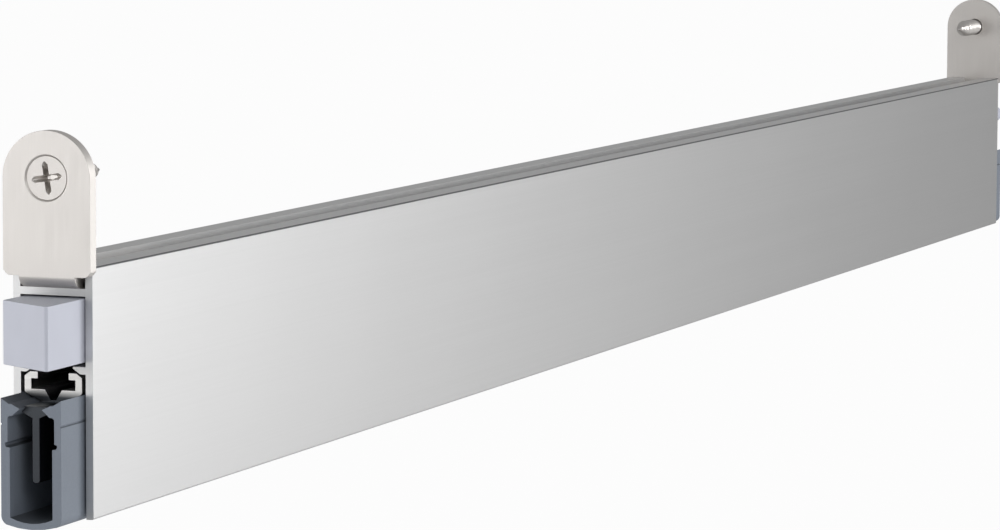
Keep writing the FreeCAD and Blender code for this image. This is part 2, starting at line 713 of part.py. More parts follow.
def build_carrier(doc):
    """Extruded carrier: C-channel with a V in its floor, then neck, barb and fin."""
    body = new_body(doc, "carrier_rail")
    profile = new_sketch(body, "carrier_section", "YZ_Plane")
    half = "Sizes.carrier_width / 2"
    inner = f"{half} - Sizes.carrier_wall"
    opening = "Sizes.carrier_opening / 2"
    fin = "Sizes.fin_thickness / 2"
    right = [
        ("Sizes.vee_bottom / 2", f"-({CHANNEL_FLOOR} + Sizes.vee_depth)"),
        ("Sizes.vee_top / 2", f"-{CHANNEL_FLOOR}"),
        (inner, f"-{CHANNEL_FLOOR}"),
        (inner, f"-{CHANNEL_CEILING}"),
        (opening, f"-{CHANNEL_CEILING}"),
        (opening, f"-{CARRIER_TOP}"),
        ("Sizes.carrier_shoulder_flat", f"-{CARRIER_TOP}"),
        (half, f"-({CARRIER_TOP} + Sizes.carrier_shoulder_drop)"),
        (half, f"-{CARRIER_CORNER}"),
        ("Sizes.neck_width / 2", f"-{NECK}"),
        ("Sizes.barb_width / 2", f"-{BARB_TIP}"),
        (fin, f"-{FIN_ROOT}"),
        (fin, f"-({FIN_ROOT} + Sizes.fin_length)"),
    ]
    add_outline(profile, mirrored(right))
    bar = pad(profile, "carrier_extrusion", "Sizes.housing_length + 2 * Sizes.fin_overhang")
    outside = SIZES["carrier_width"] / 2 - NEAR
    shoulder = body.evalExpression(f"{CARRIER_TOP} + Sizes.carrier_shoulder_drop") + NEAR
    corners = dressed(
        bar, "Fillet", "carrier_corners", "Sizes.carrier_corner", ALONG,
        lambda point: abs(point.y) > outside and point.z < -shoulder,
    )
    fin_end = body.evalExpression(f"{FIN_ROOT} + Sizes.fin_length") - NEAR
    dressed(
        corners, "Fillet", "fin_edge", "Sizes.fin_edge_round", ALONG,
        lambda point: point.z < -fin_end,
    )
    trims = new_sketch(body, "carrier_end_trims", "XZ_Plane")
    low = f"-({CARRIER_TOP} + Sizes.carrier_trim_depth)"
    for tag, sign in (("near", "-"), ("far", "")):
        inner_end = f"{sign}{HALF_LENGTH}"
        outer_end = f"{sign}({HALF_LENGTH} + 2 * Sizes.fin_overhang)"
        add_outline(trims, rectangle(inner_end, low, outer_end, "-Sizes.ledge_depth"), tag)
    pocket(trims, "carrier_end_trimming", middle=True)


def build_seal(doc):
    """Silicone U: sloped lips hooked over the barb, stepped walls and a rounded foot."""
    body = new_body(doc, "seal_profile")
    profile = new_sketch(body, "seal_section", "YZ_Plane")
    half = "Sizes.seal_width / 2"
    upper = "Sizes.seal_upper_half"
    lower = "Sizes.seal_lower_half"
    slope = "(Sizes.neck_drop / (Sizes.carrier_width / 2 - Sizes.neck_width / 2))"
    barb_slope = "(Sizes.barb_drop / (Sizes.barb_width / 2 - Sizes.neck_width / 2))"
    lip_tip = "(Sizes.neck_width / 2 + Sizes.seal_tip_gap)"
    lip_bottom = f"({NECK} + {barb_slope} * (Sizes.seal_lip_reach - {lip_tip}))"
    groove_low = "-(Sizes.seal_groove_depth + Sizes.seal_groove_rise)"
    groove_high = "-(Sizes.seal_groove_depth - Sizes.seal_groove_rise)"

    def top_at(place):
        return f"-({NECK} - {slope} * ({place} - {lip_tip}))"

    floor_rise = "(Sizes.seal_floor_middle - Sizes.seal_floor_side)"
    floor_radius = f"({lower} ^ 2 + {floor_rise} ^ 2) / (2 * {floor_rise})"
    foot_half = f"({half} - Sizes.seal_foot_round / 2)"
    foot_rise = "(Sizes.seal_foot_middle - Sizes.seal_foot_side)"
    foot_radius = f"({foot_half} ^ 2 + {foot_rise} ^ 2) / (2 * {foot_rise})"
    line = "Sizes.seal_line_depth"
    cut = "Sizes.seal_line_cut"
    right = [
        (lower, "-Sizes.seal_floor_side"),
        (lower, groove_low, "Sizes.seal_groove_radius", -1),
        (upper, groove_high),
        (upper, f"-({lip_bottom} + Sizes.seal_root_chamfer)"),
        (f"{upper} - Sizes.seal_root_chamfer", f"-{lip_bottom}"),
        ("Sizes.seal_lip_reach", f"-{lip_bottom}"),
        (lip_tip, f"-{NECK}"),
        ("Sizes.seal_step_inner", top_at("Sizes.seal_step_inner")),
        ("Sizes.seal_step_outer", f"{top_at('Sizes.seal_step_outer')} - Sizes.seal_step_drop"),
        (half, top_at(half)),
        (half, f"-({line} - {cut})"),
        (f"{half} - {cut}", f"-{line}"),
        (half, f"-({line} + {cut})"),
        (half, "-(Sizes.seal_foot_side - Sizes.seal_foot_round)", "Sizes.seal_foot_round", 1),
        (foot_half, "-Sizes.seal_foot_side", foot_radius, 1),
    ]
    loop = mirrored(right)
    # The closing edge runs across the inside floor, back to the first corner.
    loop[-1] = (*loop[-1][:2], floor_radius, -1)
    add_outline(profile, loop)
    pad(profile, "seal_extrusion", "Sizes.housing_length + 2 * Sizes.seal_overhang")


def build_end_guide(doc):
    """Plug on the ledges inside the far end, with a round nub that stands out of it."""
    label = "far_end_guide"
    body = new_body(doc, label, along=f"({HALF_LENGTH} - Sizes.end_guide_inset)")
    section = block_section(body, label, "Sizes.fixed_gap")
    pad(section, "end_guide_block", "Sizes.end_guide_length", middle=False, back=True)
    nub = new_sketch(body, "end_guide_nub", "YZ_Plane", shift_up="-Sizes.rod_depth")
    add_circle(nub, "Sizes.nub_diameter / 2")
    pad(nub, "end_guide_boss", "Sizes.end_guide_inset + Sizes.nub_overhang", middle=False)


def build_spring_unit(doc, end, sign):
    """One leaf spring with its carriage, anchor and hanger, centred at its station."""
    centre = f"({sign}Sizes.spring_station)"
    carriage = f"({centre} - Sizes.spring_span / 2)"
    anchor = f"({centre} + Sizes.spring_span / 2)"
    build_carriage(doc, end, carriage)
    build_anchor(doc, end, anchor)
    build_leaf_spring(doc, end, centre)
    build_hanger(doc, end, centre)


def check_and_write(doc):
    """Stops on a failed object or a bad shape, then writes one STEP file for each piece."""
    doc.recompute()
    for item in doc.Objects:
        if "Invalid" in item.State or "Error" in item.State:
            raise RuntimeError(f"{item.Name} failed: {item.State}")
    pieces = [item for item in doc.Objects if item.TypeId == "PartDesign::Body"]
    for piece in pieces:
        if piece.Shape.isNull() or not piece.Shape.isValid() or not piece.Shape.Solids:
            raise RuntimeError(f"{piece.Label} has no valid solid")
    os.makedirs("parts", exist_ok=True)
    for piece in pieces:
        piece.Shape.exportStep(f"parts/{piece.Label}.step")
        print(piece.Label, len(piece.Shape.Solids), round(piece.Shape.Volume, 1))


def main():
    doc = FreeCAD.newDocument("DoorBottomSeal")
    fill_sheet(doc)
    build_housing(doc)
    for end, reversed_end in (("near", False), ("far", True)):
        build_bracket(doc, f"{end}_bracket", reversed_end)
        build_bracket_screw(doc, f"{end}_bracket_screw", reversed_end)
    build_button(doc)
    build_lock_nut(doc)
    build_push_rod(doc)
    for end, sign in (("near", "-"), ("far", "")):
        build_spring_unit(doc, end, sign)
    build_carrier(doc)
    build_seal(doc)
    build_end_guide(doc)
    check_and_write(doc)


main()
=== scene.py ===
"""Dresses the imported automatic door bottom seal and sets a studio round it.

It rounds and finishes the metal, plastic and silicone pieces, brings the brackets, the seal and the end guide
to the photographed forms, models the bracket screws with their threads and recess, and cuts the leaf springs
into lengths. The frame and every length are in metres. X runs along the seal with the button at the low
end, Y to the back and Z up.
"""

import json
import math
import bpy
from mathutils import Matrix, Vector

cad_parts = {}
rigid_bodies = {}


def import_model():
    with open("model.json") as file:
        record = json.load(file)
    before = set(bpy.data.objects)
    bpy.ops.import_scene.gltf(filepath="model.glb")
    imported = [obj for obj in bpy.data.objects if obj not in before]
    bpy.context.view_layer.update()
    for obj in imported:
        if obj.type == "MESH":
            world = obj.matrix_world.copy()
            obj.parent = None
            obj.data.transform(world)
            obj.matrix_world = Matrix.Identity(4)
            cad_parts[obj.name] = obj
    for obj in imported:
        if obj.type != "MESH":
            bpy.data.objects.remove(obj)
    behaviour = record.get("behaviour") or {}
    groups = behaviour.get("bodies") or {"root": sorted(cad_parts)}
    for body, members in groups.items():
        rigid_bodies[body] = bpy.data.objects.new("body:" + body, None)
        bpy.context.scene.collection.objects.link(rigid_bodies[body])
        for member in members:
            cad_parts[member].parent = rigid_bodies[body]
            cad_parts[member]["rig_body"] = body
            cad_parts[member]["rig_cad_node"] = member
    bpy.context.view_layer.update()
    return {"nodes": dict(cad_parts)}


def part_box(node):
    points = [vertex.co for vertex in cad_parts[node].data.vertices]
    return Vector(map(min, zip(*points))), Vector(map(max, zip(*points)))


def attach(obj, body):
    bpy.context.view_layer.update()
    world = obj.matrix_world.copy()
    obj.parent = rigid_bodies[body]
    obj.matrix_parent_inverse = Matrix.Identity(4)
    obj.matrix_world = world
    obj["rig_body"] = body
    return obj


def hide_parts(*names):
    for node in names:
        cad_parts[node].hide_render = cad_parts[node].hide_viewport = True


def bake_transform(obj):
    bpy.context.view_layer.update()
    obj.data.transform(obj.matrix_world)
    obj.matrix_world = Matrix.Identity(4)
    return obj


bl_info = {
    "name": "Automatic Door Bottom Seal",
    "version": (1, 0, 0),
    "blender": (4, 5, 0),
    "location": "View3D > Sidebar > Door Seal",
    "description": "Dresses the door bottom seal and sets a plain studio round it",
    "category": "Object",
}

import bpy
from bpy.props import FloatProperty, FloatVectorProperty, PointerProperty
from bpy.types import Operator, Panel, PropertyGroup
from mathutils import Matrix, Vector

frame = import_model()

MM = 0.001
WELD_DISTANCE = 0.002 * MM
FLAT_ANGLE = math.radians(0.5)
SMOOTH_ANGLE = math.radians(30.0)


def linear(hex_colour):
    """Linear RGB of an sRGB hex colour."""
    channels = [int(hex_colour[at:at + 2], 16) / 255 for at in (1, 3, 5)]
    return [c / 12.92 if c <= 0.04045 else ((c + 0.055) / 1.055) ** 2.4 for c in channels]


# Sizes and colours that a user would change


class EdgeSettings(PropertyGroup):
    housing: FloatProperty(
        name="Housing", description="Rounding of the housing's edges", default=0.12 * MM, unit="LENGTH")
    bracket: FloatProperty(
        name="Brackets", description="Rounding of the folded sheet's edges", default=0.2 * MM, unit="LENGTH")
    button: FloatProperty(
        name="Button", description="Rounding of the edges that the mould leaves", default=0.15 * MM,
        unit="LENGTH")
    carrier: FloatProperty(
        name="Carrier", description="Rounding of the carrier's edges", default=0.1 * MM, unit="LENGTH")
    seal: FloatProperty(
        name="Seal", description="Rounding of the silicone's edges", default=0.12 * MM, unit="LENGTH")
    fitting: FloatProperty(
        name="Inner fittings", description="Rounding of blocks, nuts and rivets", default=0.12 * MM,
        unit="LENGTH")


class FormSettings(PropertyGroup):
    sheet: FloatProperty(
        name="Sheet", description="Thickness of the brackets' plates", default=2.0 * MM, unit="LENGTH")
    plate_width: FloatProperty(
        name="Plate width", description="Width of the brackets' plates", default=14.5 * MM, unit="LENGTH")
    seal_reach: FloatProperty(
        name="Seal's reach", description="How far the seal stands out of the housing's far end",
        default=10.0 * MM, unit="LENGTH")
    seal_notch: FloatProperty(
        name="Seal's notch", description="How much deeper the grooves in the seal's walls are",
        default=0.35 * MM, unit="LENGTH")
    nub_place: FloatVectorProperty(
        name="Nub", description="Middle of the end guide's nub across the housing", size=2,
        default=(-3.2 * MM, -9.9 * MM), unit="LENGTH")
    nub_radius: FloatProperty(
        name="Nub's radius", description="Radius of the end guide's nub", default=2.0 * MM, unit="LENGTH")
    nub_reach: FloatProperty(
        name="Nub's reach", description="How far the nub stands out of the housing's far end",
        default=9.5 * MM, unit="LENGTH")


class ScrewSettings(PropertyGroup):
    core: FloatProperty(
        name="Core diameter", description="Diameter at the thread's root", default=2.7 * MM, unit="LENGTH")
    thread: FloatProperty(
        name="Thread diameter", description="Diameter over the thread's crest", default=4.0 * MM,
        unit="LENGTH")
    pitch: FloatProperty(
        name="Pitch", description="Rise of one turn of thread", default=1.5 * MM, unit="LENGTH")
    point: FloatProperty(
        name="Point", description="Length of the pointed end", default=5.5 * MM, unit="LENGTH")
    sunk: FloatProperty(
        name="Sunk", description="How deep the head lies below the plate's face", default=0.2 * MM,
        unit="LENGTH")
    rim: FloatProperty(
        name="Head rim", description="Thickness of the head's rim", default=0.1 * MM, unit="LENGTH")
    rim_round: FloatProperty(
        name="Rim rounding", description="Rounding of the head's edges", default=0.12 * MM, unit="LENGTH")
    recess_span: FloatProperty(
        name="Recess span", description="Width of the cross recess over two arms", default=5.8 * MM,
        unit="LENGTH")
    recess_width: FloatProperty(
        name="Arm width", description="Width of one arm at the head's face", default=1.0 * MM, unit="LENGTH")
    recess_depth: FloatProperty(
        name="Recess depth", description="Depth of the cross recess", default=2.0 * MM, unit="LENGTH")
    recess_turn: FloatProperty(
        name="Recess turn", description="Turn of the cross against upright", default=math.radians(9.0),
        subtype="ANGLE", unit="ROTATION")


class FinishSettings(PropertyGroup):
    housing: FloatVectorProperty(
        name="Housing", description="Natural anodising", subtype="COLOR", default=linear("#E4E4E4"))
    # Painted shade colour: a dark reflection painted on the housing's upper front corner, and shade painted
    # on the upper part of its ends
    corner: FloatVectorProperty(
        name="Corner", description="Anodising round the upper corner and where the saw's jaws held it",
        subtype="COLOR", default=linear("#828385"))
    carrier: FloatVectorProperty(
        name="Carrier", description="Mill finish aluminium", subtype="COLOR", default=linear("#D7D6D4"))
    # Painted shade colour, over the carrier's neck, barb and fin and over the seal's upper faces
    graphite: FloatVectorProperty(
        name="Graphite", description="Film on the carrier's barb and fin and on the seal's upper faces",
        subtype="COLOR", default=linear("#45484C"))
    bracket: FloatVectorProperty(
        name="Brackets", description="Stainless sheet", subtype="COLOR", default=linear("#E6E2DE"))
    screw: FloatVectorProperty(
        name="Screws", description="Stainless screws", subtype="COLOR", default=linear("#E2DEDA"))
    spring: FloatVectorProperty(
        name="Springs", description="Oiled spring steel", subtype="COLOR", default=linear("#8C8780"))
    plated: FloatVectorProperty(
        name="Plated steel", description="Zinc-plated small parts", subtype="COLOR",
        default=linear("#CBD0D6"))
    straw: FloatVectorProperty(
        name="Straw", description="Yellow patches of the zinc's passivation", subtype="COLOR",
        default=linear("#CFC9B4"))
    casting: FloatVectorProperty(
        name="Castings", description="Zinc die castings", subtype="COLOR", default=linear("#A9ABAD"))
    button: FloatVectorProperty(
        name="Button", description="Pale nylon", subtype="COLOR", default=linear("#DADDEA"))
    # Painted shade colour for the button's upward faces
    rubbed: FloatVectorProperty(
        name="Rubbed nylon", description="The button where it slides", subtype="COLOR",
        default=linear("#BDC0CB"))
    slider: FloatVectorProperty(
        name="Sliders", description="Black acetal", subtype="COLOR", default=linear("#2A2C2F"))
    seal: FloatVectorProperty(
        name="Seal", description="Grey silicone", subtype="COLOR", default=linear("#8C94A0"))


class StudioSettings(PropertyGroup):
    camera_place: FloatVectorProperty(
        name="Camera", description="Where the camera stands", subtype="TRANSLATION", unit="LENGTH",
        default=(-860.308 * MM, -297.375 * MM, 66.736 * MM))
    camera_yaw: FloatProperty(
        name="Yaw", description="Camera's heading, from +X towards +Y", default=math.radians(20.8559),
        subtype="ANGLE", unit="ROTATION")
    camera_pitch: FloatProperty(
        name="Pitch", description="How far the camera looks down", default=math.radians(5.737),
        subtype="ANGLE", unit="ROTATION")
    camera_roll: FloatProperty(
        name="Roll", description="Camera's roll", default=math.radians(0.25779), subtype="ANGLE",
        unit="ROTATION")
    lens: FloatProperty(
        name="Lens", description="Focal length on a 36 mm sensor, in millimetres", default=159.8245)
    floor_depth: FloatProperty(
        name="Floor", description="Depth of the floor below the housing's top", default=300.0 * MM,
        unit="LENGTH")
    surround: FloatProperty(
        name="Surround", description="Strength of the even light from all round", default=0.35)
    key_power: FloatProperty(
        name="Key light", description="Power of the light over the camera", default=0.95, unit="POWER")
    front_power: FloatProperty(
        name="Front softbox", description="Power of the soft light that the front mirrors at the button end",
        default=2.05, unit="POWER")
    middle_power: FloatProperty(
        name="Middle softbox", description="Power of the soft light that the middle of the front mirrors",
        default=0.15, unit="POWER")
    end_power: FloatProperty(
        name="End softbox", description="Power of the soft light that the near bracket mirrors",
        default=0.18, unit="POWER")
    rear_power: FloatProperty(
        name="Rear softbox", description="Power of the soft light behind the button end", default=0.21,
        unit="POWER")


class DoorSealSettings(PropertyGroup):
    edges: PointerProperty(name="Edges", description="Roundings of the pieces' edges", type=EdgeSettings)
    forms: PointerProperty(name="Forms", description="Sizes that differ from the solids'", type=FormSettings)
    screws: PointerProperty(name="Screws", description="Sizes of the bracket screws", type=ScrewSettings)
    finishes: PointerProperty(name="Finishes", description="Colours of the materials", type=FinishSettings)
    studio: PointerProperty(name="Studio", description="Camera, floor and lights", type=StudioSettings)


def settings():
    return bpy.context.scene.door_seal


# Modelling


def deselect():
    """Leaves object mode with nothing selected."""
    if bpy.context.mode != "OBJECT":
        bpy.ops.object.mode_set(mode="OBJECT")
    bpy.ops.object.select_all(action="DESELECT")


def pick(piece):
    """Makes one object the selected and active one."""
    deselect()
    piece.select_set(True)
    bpy.context.view_layer.objects.active = piece


def select_faces(piece, test):
    """Selects in edit mode the faces whose normal passes the test."""
    bpy.ops.object.mode_set(mode="OBJECT")
    for part in (piece.data.edges, piece.data.vertices):
        part.foreach_set("select", [False] * len(part))
    for face in piece.data.polygons:
        face.select = test(face.normal)
        if face.select:
            for index in face.vertices:
                piece.data.vertices[index].select = True
    bpy.ops.object.mode_set(mode="EDIT")


def select_corners(piece, test):
    """Selects in edit mode the vertices whose place passes the test."""
    pick(piece)
    for part in (piece.data.polygons, piece.data.edges):
        part.foreach_set("select", [False] * len(part))
    for vertex in piece.data.vertices:
        vertex.select = test(vertex.co)
    bpy.ops.object.mode_set(mode="EDIT")


def move_corners(piece, test, offset):
    """Moves the vertices whose place passes the test."""
    select_corners(piece, test)
    bpy.ops.transform.translate(value=offset)
    bpy.ops.object.mode_set(mode="OBJECT")


def scale_corners(piece, test, factors, centre):
    """Scales about a centre the vertices whose place passes the test."""
    select_corners(piece, test)
    bpy.ops.transform.resize(value=factors, center_override=centre)
    bpy.ops.object.mode_set(mode="OBJECT")


def apply_modifier(piece, kind, **values):
    """Adds a modifier, sets it and applies it."""
    pick(piece)
    bpy.ops.object.modifier_add(type=kind)
    modifier = piece.modifiers[-1]
    for name, value in values.items():
        setattr(modifier, name, value)
    bpy.ops.object.modifier_apply(modifier=modifier.name)


def merged_copy(node, name):
    """Copies a CAD node, welds its loose triangles and makes its flat areas whole."""
    pick(frame["nodes"][node])
    bpy.ops.object.duplicate()
    piece = bpy.context.object
    piece.name = piece.data.name = name
    piece.parent = None
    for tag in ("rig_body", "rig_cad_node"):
        del piece[tag]
    piece.data.materials.clear()
    bpy.ops.mesh.customdata_custom_splitnormals_clear()
    bpy.ops.object.mode_set(mode="EDIT")
    bpy.ops.mesh.select_all(action="SELECT")
    bpy.ops.mesh.remove_doubles(threshold=WELD_DISTANCE)
    bpy.ops.mesh.dissolve_limited(angle_limit=FLAT_ANGLE)
    bpy.ops.object.mode_set(mode="OBJECT")
    return piece


def round_edges(piece, width, segments=2, sharper_than=35.0):
    """Rounds every edge that is sharper than an angle in degrees, and shades the piece."""
    apply_modifier(
        piece, "BEVEL", width=width, segments=segments, limit_method="ANGLE",
        angle_limit=math.radians(sharper_than))
    shade(piece)


def shade(piece):
    """Shades rounds smooth and keeps flats flat, by letting the largest face at a corner set its normal."""
    pick(piece)
    bpy.ops.object.shade_smooth_by_angle(angle=SMOOTH_ANGLE)
    apply_modifier(piece, "WEIGHTED_NORMAL", keep_sharp=True, weight=100)


def lay_finish(piece, slot):
    """Gives a piece the finish of a material slot."""
    piece.data.materials.clear()
    piece.data.materials.append(finish(slot))


def finish_piece(piece, body, slot, node):
    """Gives a piece its finish and its body, and lets it stand for a CAD node."""
    lay_finish(piece, slot)
    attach(piece, body)
    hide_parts(node)


def dress_node(node, name, body, slot, edge):
    """Rounds a copy of a CAD node and lets it stand for the node."""
    piece = merged_copy(node, name)
    round_edges(piece, edge)
    finish_piece(piece, body, slot, node)


# Finishes

# Grains, die lines and rolling lines finer than about 0.25 mm are drawn at 0.2 to 0.5 mm, so that they show

# Places where a finish changes, from where the change starts to where it is full: across from the housing's
# middle, and up from its top
# Across from the middle, where the upper front corner gets its painted dark reflection
FRONT_CORNER = (-6.0 * MM, -6.2 * MM)
# The edges of the slot's mouth, made part diffuse so that they show lighter: painted light on edges in shade
MOUTH_EDGE = (2.6 * MM, 2.5 * MM)
MOUTH_HEIGHT = (-1.3 * MM, -1.25 * MM)
# Across and up the ends, where they get painted shade
END_SHADE_ACROSS = (5.0 * MM, -1.0 * MM)
END_SHADE_UP = (-12.0 * MM, -4.0 * MM)
# Height below which the carrier's neck, barb and fin get painted shade
PAINTED_SHADE_HEIGHT = (-18.6 * MM, -19.8 * MM)

# The part of a noise's range that holds nearly all of it
NOISE_RANGE = {"From Min": 0.3, "From Max": 0.7}


def add_node(tree, kind, inputs=None, **values):
    """Adds a node with its settings. An input is a value, an output, or a node, whose first output it is."""
    node = tree.nodes.new(kind)
    for name, value in values.items():
        setattr(node, name, value)
    for name, source in (inputs or {}).items():
        if isinstance(source, bpy.types.Node):
            source = next(output for output in source.outputs if output.enabled)
        if isinstance(source, bpy.types.NodeSocket):
            tree.links.new(source, node.inputs[name])
        else:
            node.inputs[name].default_value = source
    return node


def opaque(colour, share=1.0):
    """RGBA of a colour, darkened to a share of itself."""
    return [channel * share for channel in colour] + [1.0]


def pattern(tree, place, size, detail=2.0):
    """Noise with grains of a real size in metres, given once or for X, Y and Z."""
    grain = size if isinstance(size, tuple) else (size, size, size)
    scaled = add_node(tree, "ShaderNodeMapping", {
        "Vector": place.outputs["Object"], "Scale": [1 / length for length in grain]})
    return add_node(tree, "ShaderNodeTexNoise", {
        "Vector": scaled, "Scale": 1.0, "Detail": detail, "Roughness": 0.55})


def zone(tree, *bounds):
    """Share of the surface inside all bounds: each a value, where it starts to count and where it is full."""
    share = 1.0
    for value, start, full in bounds:
        inside = add_node(tree, "ShaderNodeMapRange", {"Value": value, "From Min": start, "From Max": full})
        share = add_node(tree, "ShaderNodeMath", {0: share, 1: inside}, operation="MULTIPLY")
    return share


def skin(tree, colours, tone, roughness, relief):
    """Shader inputs of a skin whose tone runs between two colours and whose roughness follows a pattern.

    The roughness is a pattern and its two ends. The relief is the bump's inputs, its distance in metres.
    """
    dull, smoothest, roughest = roughness
    return {
        "Base Color": add_node(
            tree, "ShaderNodeMix", {"Factor": tone, "A": colours[0], "B": colours[1]}, data_type="RGBA"),
        "Roughness": add_node(tree, "ShaderNodeMapRange", {
            **NOISE_RANGE, "Value": dull, "To Min": smoothest, "To Max": roughest}),
        "Normal": add_node(tree, "ShaderNodeBump", relief),
    }


def coat(tree, inputs, share, colour):
    """Lays a colour over a share of the skin."""
    inputs["Base Color"] = add_node(tree, "ShaderNodeMix", {
        "Factor": share, "A": inputs["Base Color"], "B": opaque(colour)}, data_type="RGBA")


def drawn_metal(tree, place, colour, roughness, line, line_height, saw_mark):
    """Extruded metal: fine lines along X, a slow cloud of tone, and saw marks on the ends that are cut."""
    lines = pattern(tree, place, (180 * MM, line, line))
    cloud = pattern(tree, place, 45 * MM)
    facing = add_node(tree, "ShaderNodeSeparateXYZ", {"Vector": place.outputs["Normal"]})
    endness = add_node(tree, "ShaderNodeMath", {0: facing.outputs["X"]}, operation="ABSOLUTE")
    cut = add_node(tree, "ShaderNodeMath", {0: endness, 1: 0.9}, operation="GREATER_THAN")
    marks = pattern(tree, place, (saw_mark, 12 * MM, saw_mark))
    surface = add_node(
        tree, "ShaderNodeMix", {"Factor": cut, "A": lines, "B": marks}, data_type="FLOAT")
    faint = add_node(tree, "ShaderNodeMapRange", {**NOISE_RANGE, "Value": surface, "To Max": 0.4})
    tone = add_node(tree, "ShaderNodeMath", {0: cloud, 1: 0.6, 2: faint}, operation="MULTIPLY_ADD")
    fine = add_node(tree, "ShaderNodeBump", {
        "Height": pattern(tree, place, 0.3 * MM, detail=3.0), "Distance": 0.01 * MM, "Strength": 0.25})
    relief = {"Height": surface, "Distance": line_height, "Strength": 0.35, "Normal": fine}
    colours = opaque(colour, 0.95), opaque(colour)
    return {**skin(tree, colours, tone, (surface, *roughness), relief), "Metallic": 1.0}


def anodised_aluminium(tree, place):
    # Etched before it was anodised: a dense, even, almost white satin that hides most of the die lines. A
    # painted dark reflection lies on the rounding of the upper front corner, and painted shade on the upper
    # part of the ends, deeper towards the front. The edges of the slot's mouth are made part diffuse, so that
    # they show lighter in the shade that they lie in: painted light
    colours = settings().finishes
    inputs = drawn_metal(tree, place, colours.housing, (0.43, 0.45), 0.35 * MM, 0.001 * MM, 0.4 * MM)
    spot = add_node(tree, "ShaderNodeSeparateXYZ", {"Vector": place.outputs["Object"]})
    across, up = spot.outputs["Y"], spot.outputs["Z"]
    facing = add_node(tree, "ShaderNodeSeparateXYZ", {"Vector": place.outputs["Normal"]})
    # Painted dark reflection on the rounding of the upper front corner
    turning = add_node(
        tree, "ShaderNodeMath", {0: facing.outputs["Y"], 1: facing.outputs["Z"]}, operation="MULTIPLY")
    corner = zone(tree, (turning, -0.05, -0.3), (across, *FRONT_CORNER))
    endness = add_node(tree, "ShaderNodeMath", {0: facing.outputs["X"]}, operation="ABSOLUTE")
    # Painted shade on the upper part of the ends, deeper towards the front
    shade_to_front = add_node(tree, "ShaderNodeMapRange", {
        "Value": across, "From Min": END_SHADE_ACROSS[0], "From Max": END_SHADE_ACROSS[1],
        "To Min": 0.05, "To Max": 0.52})
    shaded_upper_end = zone(tree, (endness, 0.9, 0.95), (up, *END_SHADE_UP))
    painted_end_shade = add_node(tree, "ShaderNodeMath", {0: shaded_upper_end, 1: shade_to_front}, operation="MULTIPLY")
    coat(tree, inputs, corner, colours.corner)
    coat(tree, inputs, painted_end_shade, colours.corner)
    # Painted light: the edges of the slot's mouth, which lie in shade, are made part diffuse so that they
    # show lighter
    aside = add_node(tree, "ShaderNodeMath", {0: across}, operation="ABSOLUTE")
    mouth = zone(tree, (aside, *MOUTH_EDGE), (up, *MOUTH_HEIGHT))
    inputs["Metallic"] = add_node(tree, "ShaderNodeMapRange", {"Value": mouth, "To Min": 1.0, "To Max": 0.6})
    return inputs


def mill_finish_aluminium(tree, place):
    # As it left the press, with plain die lines along its length, and painted shade over the neck, barb and
    # fin
    colours = settings().finishes
    inputs = drawn_metal(tree, place, colours.carrier, (0.295, 0.385), 0.3 * MM, 0.015 * MM, 0.35 * MM)
    spot = add_node(tree, "ShaderNodeSeparateXYZ", {"Vector": place.outputs["Object"]})
    # Painted shade over the neck, barb and fin
    film_and_shade = zone(tree, (spot.outputs["Z"], *PAINTED_SHADE_HEIGHT))
    coat(tree, inputs, film_and_shade, colours.graphite)
    return inputs


def tumbled_stainless_sheet(tree, place):
    # Cold rolled sheet, blanked, folded and tumbled: a smooth, slightly warm satin with a very fine upright
    # grain
    rolled = pattern(tree, place, (0.25 * MM, 0.25 * MM, 9 * MM))
    tone = add_node(tree, "ShaderNodeMapRange", {
        **NOISE_RANGE, "Value": pattern(tree, place, 14 * MM), "To Min": 0.4})
    colour = settings().finishes.bracket
    relief = {"Height": rolled, "Distance": 0.006 * MM, "Strength": 0.3}
    colours = opaque(colour, 0.94), opaque(colour)
    return {**skin(tree, colours, tone, (rolled, 0.46, 0.54), relief), "Metallic": 1.0}


def headed_stainless_screw(tree, place):
    # Cold headed, thread rolled and tumbled with the brackets: a head with a finely rubbed satin face, and a
    # thread and the bottom of a recess that the tools left bright
    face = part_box("housing_profile")[1].x + settings().forms.sheet - settings().screws.sunk
    rubbed = pattern(tree, place, 0.5 * MM, detail=4.0)
    tone = add_node(tree, "ShaderNodeMapRange", {**NOISE_RANGE, "Value": rubbed, "To Min": 0.2})
    spot = add_node(tree, "ShaderNodeSeparateXYZ", {"Vector": place.outputs["Object"]})
    reach = add_node(tree, "ShaderNodeMath", {0: spot.outputs["X"]}, operation="ABSOLUTE")
    satin = add_node(tree, "ShaderNodeMapRange", {
        "Value": reach, "From Min": face - 0.6 * MM, "From Max": face - 0.2 * MM,
        "To Min": 0.28, "To Max": 0.42})
    rougher = add_node(tree, "ShaderNodeMath", {0: satin, 1: 0.1}, operation="ADD")
    colour = settings().finishes.screw
    relief = {"Height": rubbed, "Distance": 0.01 * MM, "Strength": 0.2}
    colours = opaque(colour, 0.9), opaque(colour)
    return {**skin(tree, colours, tone, (rubbed, satin, rougher), relief), "Metallic": 1.0}


def oiled_spring_steel(tree, place):
    # Hardened strip with a thin film of oil: grey-brown, patchy, with grinding lines along the strip
    ground = pattern(tree, place, (15 * MM, 0.2 * MM, 0.2 * MM))
    film_and_shade = pattern(tree, place, 6 * MM, detail=3.0)
    tone = add_node(tree, "ShaderNodeMapRange", {**NOISE_RANGE, "Value": film_and_shade})
    colour = settings().finishes.spring
    relief = {"Height": ground, "Distance": 0.008 * MM, "Strength": 0.3}
    colours = opaque(colour, 0.7), opaque(colour)
    return {**skin(tree, colours, tone, (ground, 0.28, 0.4), relief), "Metallic": 1.0}


